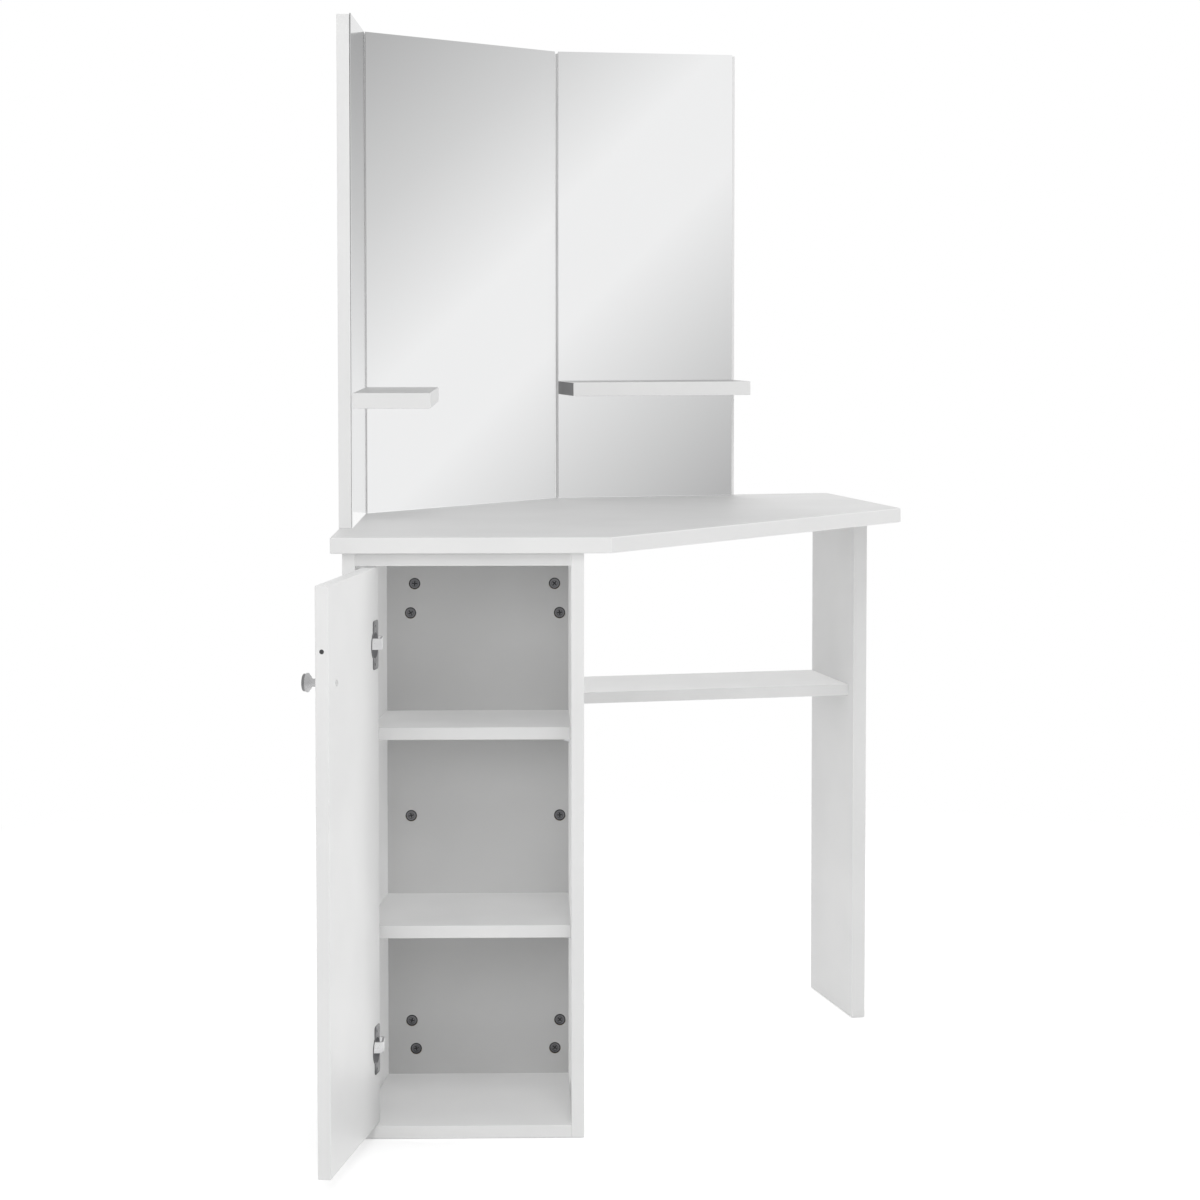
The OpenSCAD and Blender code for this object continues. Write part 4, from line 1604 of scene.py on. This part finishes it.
@dataclass
class Hinges:
    """Two cup hinges: a cup in the door, and a bent arm on a plate on the cabinet's left side."""

    plan: Plan
    door_low: float = 18.0
    door_high: float = 718.0
    inset: float = 96.0
    cup_r: float = 17.5
    cup_in: float = 22.5
    cup_deep: float = 13.0
    cup_gap: float = 0.1
    wall: float = 1.0
    flange_wide: float = 26.0
    flange_tall: float = 61.0
    flange_thick: float = 1.2
    flange_corner: float = 5.0
    flange_edge: float = 0.25
    ear_out: float = 8.3
    ear_thick: float = 2.0
    arm_thick: float = 3.0
    arm_half: float = 7.0
    arm_out: float = 14.5
    arm_back: float = 29.0
    arm_edge: float = 0.6
    elbow_r: float = 5.0
    eye_r: float = 2.7
    eye_bore: float = 1.55
    rib_low: float = 5.4
    rib_high: float = 8.2
    rib_thick: float = 2.0
    rib_edge: float = 0.3
    plate_from: float = 38.0
    plate_l: float = 40.0
    plate_half: float = 8.0
    plate_thick: float = 3.0
    plate_corner: float = 2.5
    plate_edge: float = 0.5
    wing_from: float = 8.0
    wing_to: float = 24.0
    wing_half: float = 24.0
    screw_bore: Bore = Bore(4.05, 6.0)

    @property
    def heights(self) -> Point2:
        """Heights of the two hinges' middles."""
        return (self.door_low + self.inset, self.door_high - self.inset)

    def cup_matrix(self, height: float) -> Matrix:
        """Returns the frame of a cup: z out of the door's inner face, x towards the hinge edge."""
        p = self.plan
        return p.matrix(p.door, p.door_left + self.cup_in, p.board, height, p.door.way(0, 1))

    def bores(self) -> list[Object]:
        """Makes the cutters for the cups' bores.

        Returns:
            One cutter for each cup.
        """
        r, deep = self.cup_r + self.cup_gap, self.cup_deep + self.cup_gap
        cutters = []
        for height in self.heights:
            cutter = turned_part("cup_bore", [(0, -deep), (r, -deep), (r, 2.0), (0, 2.0)], 72)
            cutter.data.transform(self.cup_matrix(height))
            cutters.append(cutter)
        return cutters

    def cup(self, height: float) -> Object:
        """Builds one cup with its flange, its pressed rim and its two ears.

        Args:
            height: The height of its middle.

        Returns:
            The cup.
        """
        r, deep, tall, thick = self.cup_r, self.cup_deep, self.flange_tall, self.flange_thick
        inner = r - self.wall
        shell = turned_part("shell", [
            (0, -deep), (r - 1.0, -deep), (r, 1.0 - deep), (r, 0.0), (r + 0.4, 0.2), (r + 0.4, thick - 0.2),
            (r + 0.1, thick), (inner + 0.3, thick), (inner, thick - 0.4), (inner, self.wall + 0.6 - deep),
            (inner - 0.6, self.wall - deep), (0, self.wall - deep),
        ], 72)
        corners = rectangle(r - self.flange_wide, -tall / 2, r, tall / 2)
        sheet = plate("flange", rounded(corners, self.flange_corner), 0.0, thick, self.flange_edge)
        flange = link(sheet, "flange")
        mouth = inner + 0.2
        carve(flange, [turned_part("hole", [(0, -2), (mouth, -2), (mouth, 3), (0, 3)], 72)])
        parts = [shell, flange]
        ear = [(6.0, -13.0), (14.2, -13.0), (14.2, -8.0), (12.5, -5.4), (8.6, -5.4), (6.6, -8.0)]
        for side in (-self.ear_out, self.ear_out):
            tab = plate("ear", rounded(ear, 1.2, 3), -self.ear_thick / 2, self.ear_thick / 2, 0.3)
            tab.transform(Matrix(((1, 0, 0, 0), (0, 0, 1, side * MM), (0, 1, 0, 0), (0, 0, 0, 1))))
            tab.flip_normals()
            parts.append(link(tab, "ear"))
        whole = joined("cup", parts)
        whole.data.transform(self.cup_matrix(height))
        return whole

    def on_wall(self, along: float, off: float) -> Point2:
        """Returns a place along and off the cabinet's left side, in the cabinet's frame."""
        return added((self.plan.wall_x0, 0.0), turned((off, along), -self.plan.toe))

    def arm(self, height: float) -> Object:
        """Builds one arm: an eye on the pin, a rounded elbow out of the cup and a foot along the side.

        Args:
            height: The height of its middle.

        Returns:
            The arm.
        """
        p, half, foot = self.plan, self.arm_half, self.plate_from
        px, py = p.pivot
        level, end = self.plate_thick + self.arm_thick / 2, foot + self.plate_l
        path = [
            (px, py), (px + self.arm_out, py), (px + self.arm_out, py + self.arm_back),
            self.on_wall(foot + 2, level), self.on_wall(end, level),
        ]
        line = strip(rounded(path, self.elbow_r, 6, closed=False), self.arm_thick)
        low, high = (height - half) * MM, (height + half) * MM
        bar = link(prism("bar", p.outline(p.cabinet, line), low, high, UP, self.arm_edge * MM), "bar")
        bore, rim = self.eye_bore, self.eye_r
        eye = turned_part("eye", [(bore, -half), (rim, -half), (rim, half), (bore, half)], 32)
        eye.data.transform(Matrix.Translation(p.point(p.cabinet, px, py, height)))
        corners = [
            self.on_wall(foot + 5, self.rib_low), self.on_wall(end - 2, self.rib_low),
            self.on_wall(end - 2, self.rib_high), self.on_wall(foot + 7, self.rib_high),
        ]
        ridge = p.outline(p.cabinet, rounded(corners, 1.0, 3))
        for side in (-1, 1):
            spot = height + side * (half - self.rib_thick / 2)
            low, high = (spot - self.rib_thick / 2) * MM, (spot + self.rib_thick / 2) * MM
            rib = link(prism("rib", ridge, low, high, UP, self.rib_edge * MM), "rib")
            bar = joined("bar", [bar, rib])
        return joined("arm", [bar, eye])

    def wall_plate(self, height: float) -> Object:
        """Builds one mounting plate with rounded wings.

        Args:
            height: The height of its middle.

        Returns:
            The plate.
        """
        p, side = self.plan, self.plan.left_side
        x0, x1, end, half, wing = self.wing_from, self.wing_to, self.plate_l, self.plate_half, self.wing_half
        cross = [
            (0, -half), (x0, -half), (x0, -wing), (x1, -wing), (x1, -half), (end, -half), (end, half),
            (x1, half), (x1, wing), (x0, wing), (x0, half), (0, half),
        ]
        outline = rounded(cross, self.plate_corner, 4)
        mesh = plate("wall_plate", outline, 0.0, self.plate_thick, self.plate_edge)
        turn = turn_to(side.way(0, 1), side.way(1, 0))
        mesh.transform(Matrix.Translation(p.point(side, 0, self.plate_from, height)) @ turn)
        return link(mesh, "wall_plate")

    def build(self, palette: Palette) -> None:
        """Builds and dresses the cups, arms and plates.

        Args:
            palette: The shared finishes.
        """
        out, inwards = self.plan.left_side.way(1, 0), self.plan.door.way(0, 1)
        for part, make, body, way, finish in (
            # the cups get the painted dark reflection finish
            ("hinge_cup", self.cup, Body.DOOR, inwards, palette.cup),
            ("hinge_arm", self.arm, Body.CARCASS, out, palette.hinge),
            ("hinge_plate", self.wall_plate, Body.CARCASS, out, palette.hinge),
        ):
            obj = joined(part + "s_dressed", [make(height) for height in self.heights])
            carve(obj, bores(heads(part + "_screws", way), self.screw_bore))
            if part == "hinge_arm":
                # painted shade on the arms' top and bottom faces
                mark_painted_dark(obj, lambda _, normal: abs(normal.z) > 0.9, 0.8)
            smooth_by_angle(obj)
            place_piece(paint(obj, finish), body, part + "s")


@dataclass
class Door:
    """The inset door with its knob, the knob's screw and the catch in its free edge."""

    plan: Plan
    hinges: Hinges
    edge: float = 0.8
    knob_height: float = 600.0
    knob_in: float = 38.0
    screw_l: float = 25.0
    catch_height: float = 641.0
    catch_l: float = 12.0

    def knob(self) -> Object:
        """Builds the stepped knob.

        Returns:
            The knob, standing on the origin.
        """
        obj = turned_part("knob_turned", [
            (0, 0), (6.0, 0), (6.4, 0.4), (6.4, 1.6), (5.8, 2.2), (5.0, 2.8), (4.8, 3.6), (4.8, 12.2),
            (5.2, 13.2), (6.8, 13.8), (8.0, 14.6), (9.8, 16.5), (10.9, 17.0), (11.3, 17.1), (11.5, 17.4),
            (11.5, 19.3), (11.3, 19.8), (10.7, 20.1), (10.1, 20.2), (9.9, 20.4), (9.9, 20.8), (10.2, 21.0),
            (10.5, 21.4), (10.5, 22.8), (10.2, 23.4), (9.6, 23.8), (8.8, 24.0), (0, 24.0),
        ], 96)
        # painted dark reflection on the knob's front ring
        mark_painted_dark(obj, lambda at, _: at.z > 20.2 and at.xy.length > 9.7, 0.55)
        return obj

    def screw(self) -> Object:
        """Builds the knob's screw with its cross recess.

        Returns:
            The screw, with the underside of its head at the origin.
        """
        obj = turned_part("knob_screw_turned", [
            (0, -self.screw_l), (2.0, -self.screw_l), (2.0, 0.0), (3.7, 0.0), (4.0, 0.3), (4.0, 1.0),
            (3.5, 1.6), (2.4, 1.95), (0, 2.0),
        ], 48)
        carve(obj, cross_cutters(arm=2.3, half=0.5, low=1.0, high=3.0))
        # painted shade in the knob screw's cross
        mark_painted_dark(obj, lambda at, _: 0.5 < at.z < 1.5 and at.xy.length < 2.4)
        return obj

    def catch(self) -> Object:
        """Builds the round catch with its small raised button.

        Returns:
            The catch, with its face at the origin.
        """
        return turned_part("catch_turned", [
            (0, -self.catch_l), (3.0, -self.catch_l), (3.0, -0.3), (2.8, 0.0), (1.7, 0.05), (1.5, 0.1),
            (1.3, 0.6), (0.8, 0.9), (0, 1.0),
        ], 32)

    def build(self, palette: Palette) -> None:
        """Builds and dresses the door.

        Args:
            palette: The shared finishes.
        """
        p, low, high = self.plan, self.hinges.door_low, self.hinges.door_high
        panel, inwards = rectangle(p.door_left, 0, p.door_right, p.board), p.door.way(0, 1)
        board = Board("door_panel", p, p.door, panel, low, high, inwards, self.edge, Body.DOOR)
        board.build(palette, self.hinges.bores())
        at, up = p.door_right - self.knob_in, self.knob_height
        outer = p.matrix(p.door, at, 0, up, -inwards)
        inner = p.matrix(p.door, at, p.board, up, inwards)
        side = p.matrix(p.door, p.door_right, p.board / 2, self.catch_height, p.door.way(1, 0))
        for node, obj, matrix, finish, slot in (
            ("knob", self.knob(), outer, palette.knob, Slot.KNOB),
            ("knob_screw", self.screw(), inner, palette.cap, Slot.STEEL),
            ("door_catch", self.catch(), side, palette.catch, Slot.CATCH),
        ):
            obj.data.transform(matrix)
            place_piece(paint(obj, finish), Body.DOOR, node)


# ---- Studio -----------------------------------------------------------------------------------------------


@dataclass(frozen=True)
class Lamp:
    """One soft light: where it stands, how strong and how large it is, and where it aims."""

    name: str
    place: Point3
    power: float
    size: float = 1.6
    aim: Point3 = (0.0, 0.0, 0.75)

    def build(self) -> None:
        """Makes the light."""
        data = bpy.data.lights.new(self.name, "AREA")
        data.shape, data.size, data.energy = "DISK", self.size, self.power
        obj = bpy.data.objects.new(self.name, data)
        bpy.context.scene.collection.objects.link(obj)
        obj.location = self.place
        obj.rotation_euler = (Vector(self.aim) - Vector(self.place)).to_track_quat("-Z", "Y").to_euler()
        obj.visible_glossy = False


@dataclass
class Studio:
    """Pale floor, white surroundings, soft lights and the camera at the photograph's viewing angle."""

    ambient: float = 0.58
    lamps: tuple[Lamp, ...] = (
        Lamp("left", (-3.6, -1.4, 1.5), 15.0),
        Lamp("right", (2.5, -2.9, 1.5), 42.0),
        Lamp("top", (-1.9, -1.7, 3.1), 24.0),
        Lamp("near", (-1.7, -1.5, 1.2), 3.9, 0.8, (-0.2, 0.0, 0.8)),
        Lamp("back", (2.4, 2.4, 2.2), 45.0),
    )
    floor_half: float = 14.0
    floor_drop: float = 0.0005
    floor_grey: float = 0.86
    floor_glow: float = 0.34
    fade_start: float = 1.1
    fade_end: float = 2.2
    eye: Point3 = (-3.20766, -2.54869, 1.04818)
    turn: float = 52.2095
    dip: float = 3.2731
    photo_size: float = 1200.0
    focal_pixels: float = 3027.27
    sensor: float = 36.0
    shift: float = -0.105

    def world(self) -> None:
        """Makes the surroundings: white where they are seen, softer where they light."""
        world = bpy.data.worlds.new("studio")
        bpy.context.scene.world = world
        world.use_nodes = True
        n = Nodes(world.node_tree)
        rays = n.add("ShaderNodeLightPath").outputs
        white = n.add("ShaderNodeBackground", {"Color": WHITE}).outputs[0]
        shader = n.add("ShaderNodeBackground", {"Color": WHITE, "Strength": self.ambient}).outputs[0]
        for ray in ("Is Glossy Ray", "Is Transmission Ray", "Is Camera Ray"):
            shader = n.add("ShaderNodeMixShader", {0: rays[ray], 1: shader, 2: white}).outputs[0]
        n.add("ShaderNodeOutputWorld", {"Surface": shader})

    def floor(self) -> None:
        """Makes the pale floor, whose far part runs into the white surroundings."""
        bm = bmesh.new()
        bmesh.ops.create_grid(bm, x_segments=8, y_segments=8, size=self.floor_half)
        floor = link(mesh_from(bm, "floor"), "floor")
        floor.location.z = -self.floor_drop
        n = FinishNodes("pale_floor")
        far = n.add("ShaderNodeVectorMath", {0: n.at}, operation="LENGTH").outputs["Value"]
        fade = n.span(far, 0.0, 1.0, self.fade_start, self.fade_end)
        grey = (self.floor_grey, self.floor_grey, self.floor_grey, 1.0)
        paper = n.add("ShaderNodeBsdfDiffuse", {"Color": grey}).outputs[0]
        glow = n.add("ShaderNodeEmission", {"Color": WHITE, "Strength": self.floor_glow}).outputs[0]
        lifted = n.add("ShaderNodeAddShader", {0: paper, 1: glow}).outputs[0]
        white = n.add("ShaderNodeEmission", {"Color": WHITE, "Strength": 1.0}).outputs[0]
        near = n.add("ShaderNodeMixShader", {0: fade, 1: lifted, 2: white}).outputs[0]
        rays = n.add("ShaderNodeLightPath").outputs
        either = {0: rays["Is Camera Ray"], 1: rays["Is Glossy Ray"]}
        direct = n.add("ShaderNodeMath", either, operation="MAXIMUM").outputs[0]
        paint(floor, n.output(n.add("ShaderNodeMixShader", {0: direct, 1: paper, 2: near}).outputs[0]))

    def camera(self) -> None:
        """Makes the camera at the photograph's viewing angle."""
        data = bpy.data.cameras.new("camera")
        data.sensor_width, data.shift_y = self.sensor, self.shift
        data.lens = self.focal_pixels / self.photo_size * self.sensor
        obj = bpy.data.objects.new("camera", data)
        bpy.context.scene.collection.objects.link(obj)
        obj.location = self.eye
        obj.rotation_euler = (math.radians(90.0 - self.dip), 0.0, math.radians(-self.turn))
        bpy.context.scene.camera = obj

    def build(self) -> None:
        """Makes the whole studio."""
        self.world()
        self.floor()
        for lamp in self.lamps:
            lamp.build()
        self.camera()
        bpy.context.scene.view_settings.view_transform = "Standard"


def corners(box: tuple[Vector, Vector]) -> list[list[float]]:
    """Returns a box's two corners as plain numbers."""
    return [[round(c, 5) for c in corner] for corner in box]


def main() -> None:
    """Builds the dressing table's sub-assemblies in order, and the studio round them."""
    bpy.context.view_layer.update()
    plan = Plan()
    palette = Palette()
    hinges = Hinges(plan)
    TableTop(plan).build(palette)
    Cabinet(plan).build(palette)
    MirrorSet(plan).build(palette)
    Door(plan, hinges).build(palette)
    hinges.build(palette)
    Fittings(plan, FittingTree()).build(palette)
    clear_mirrors()
    Studio().build()


if __name__ == "__main__":
    main()
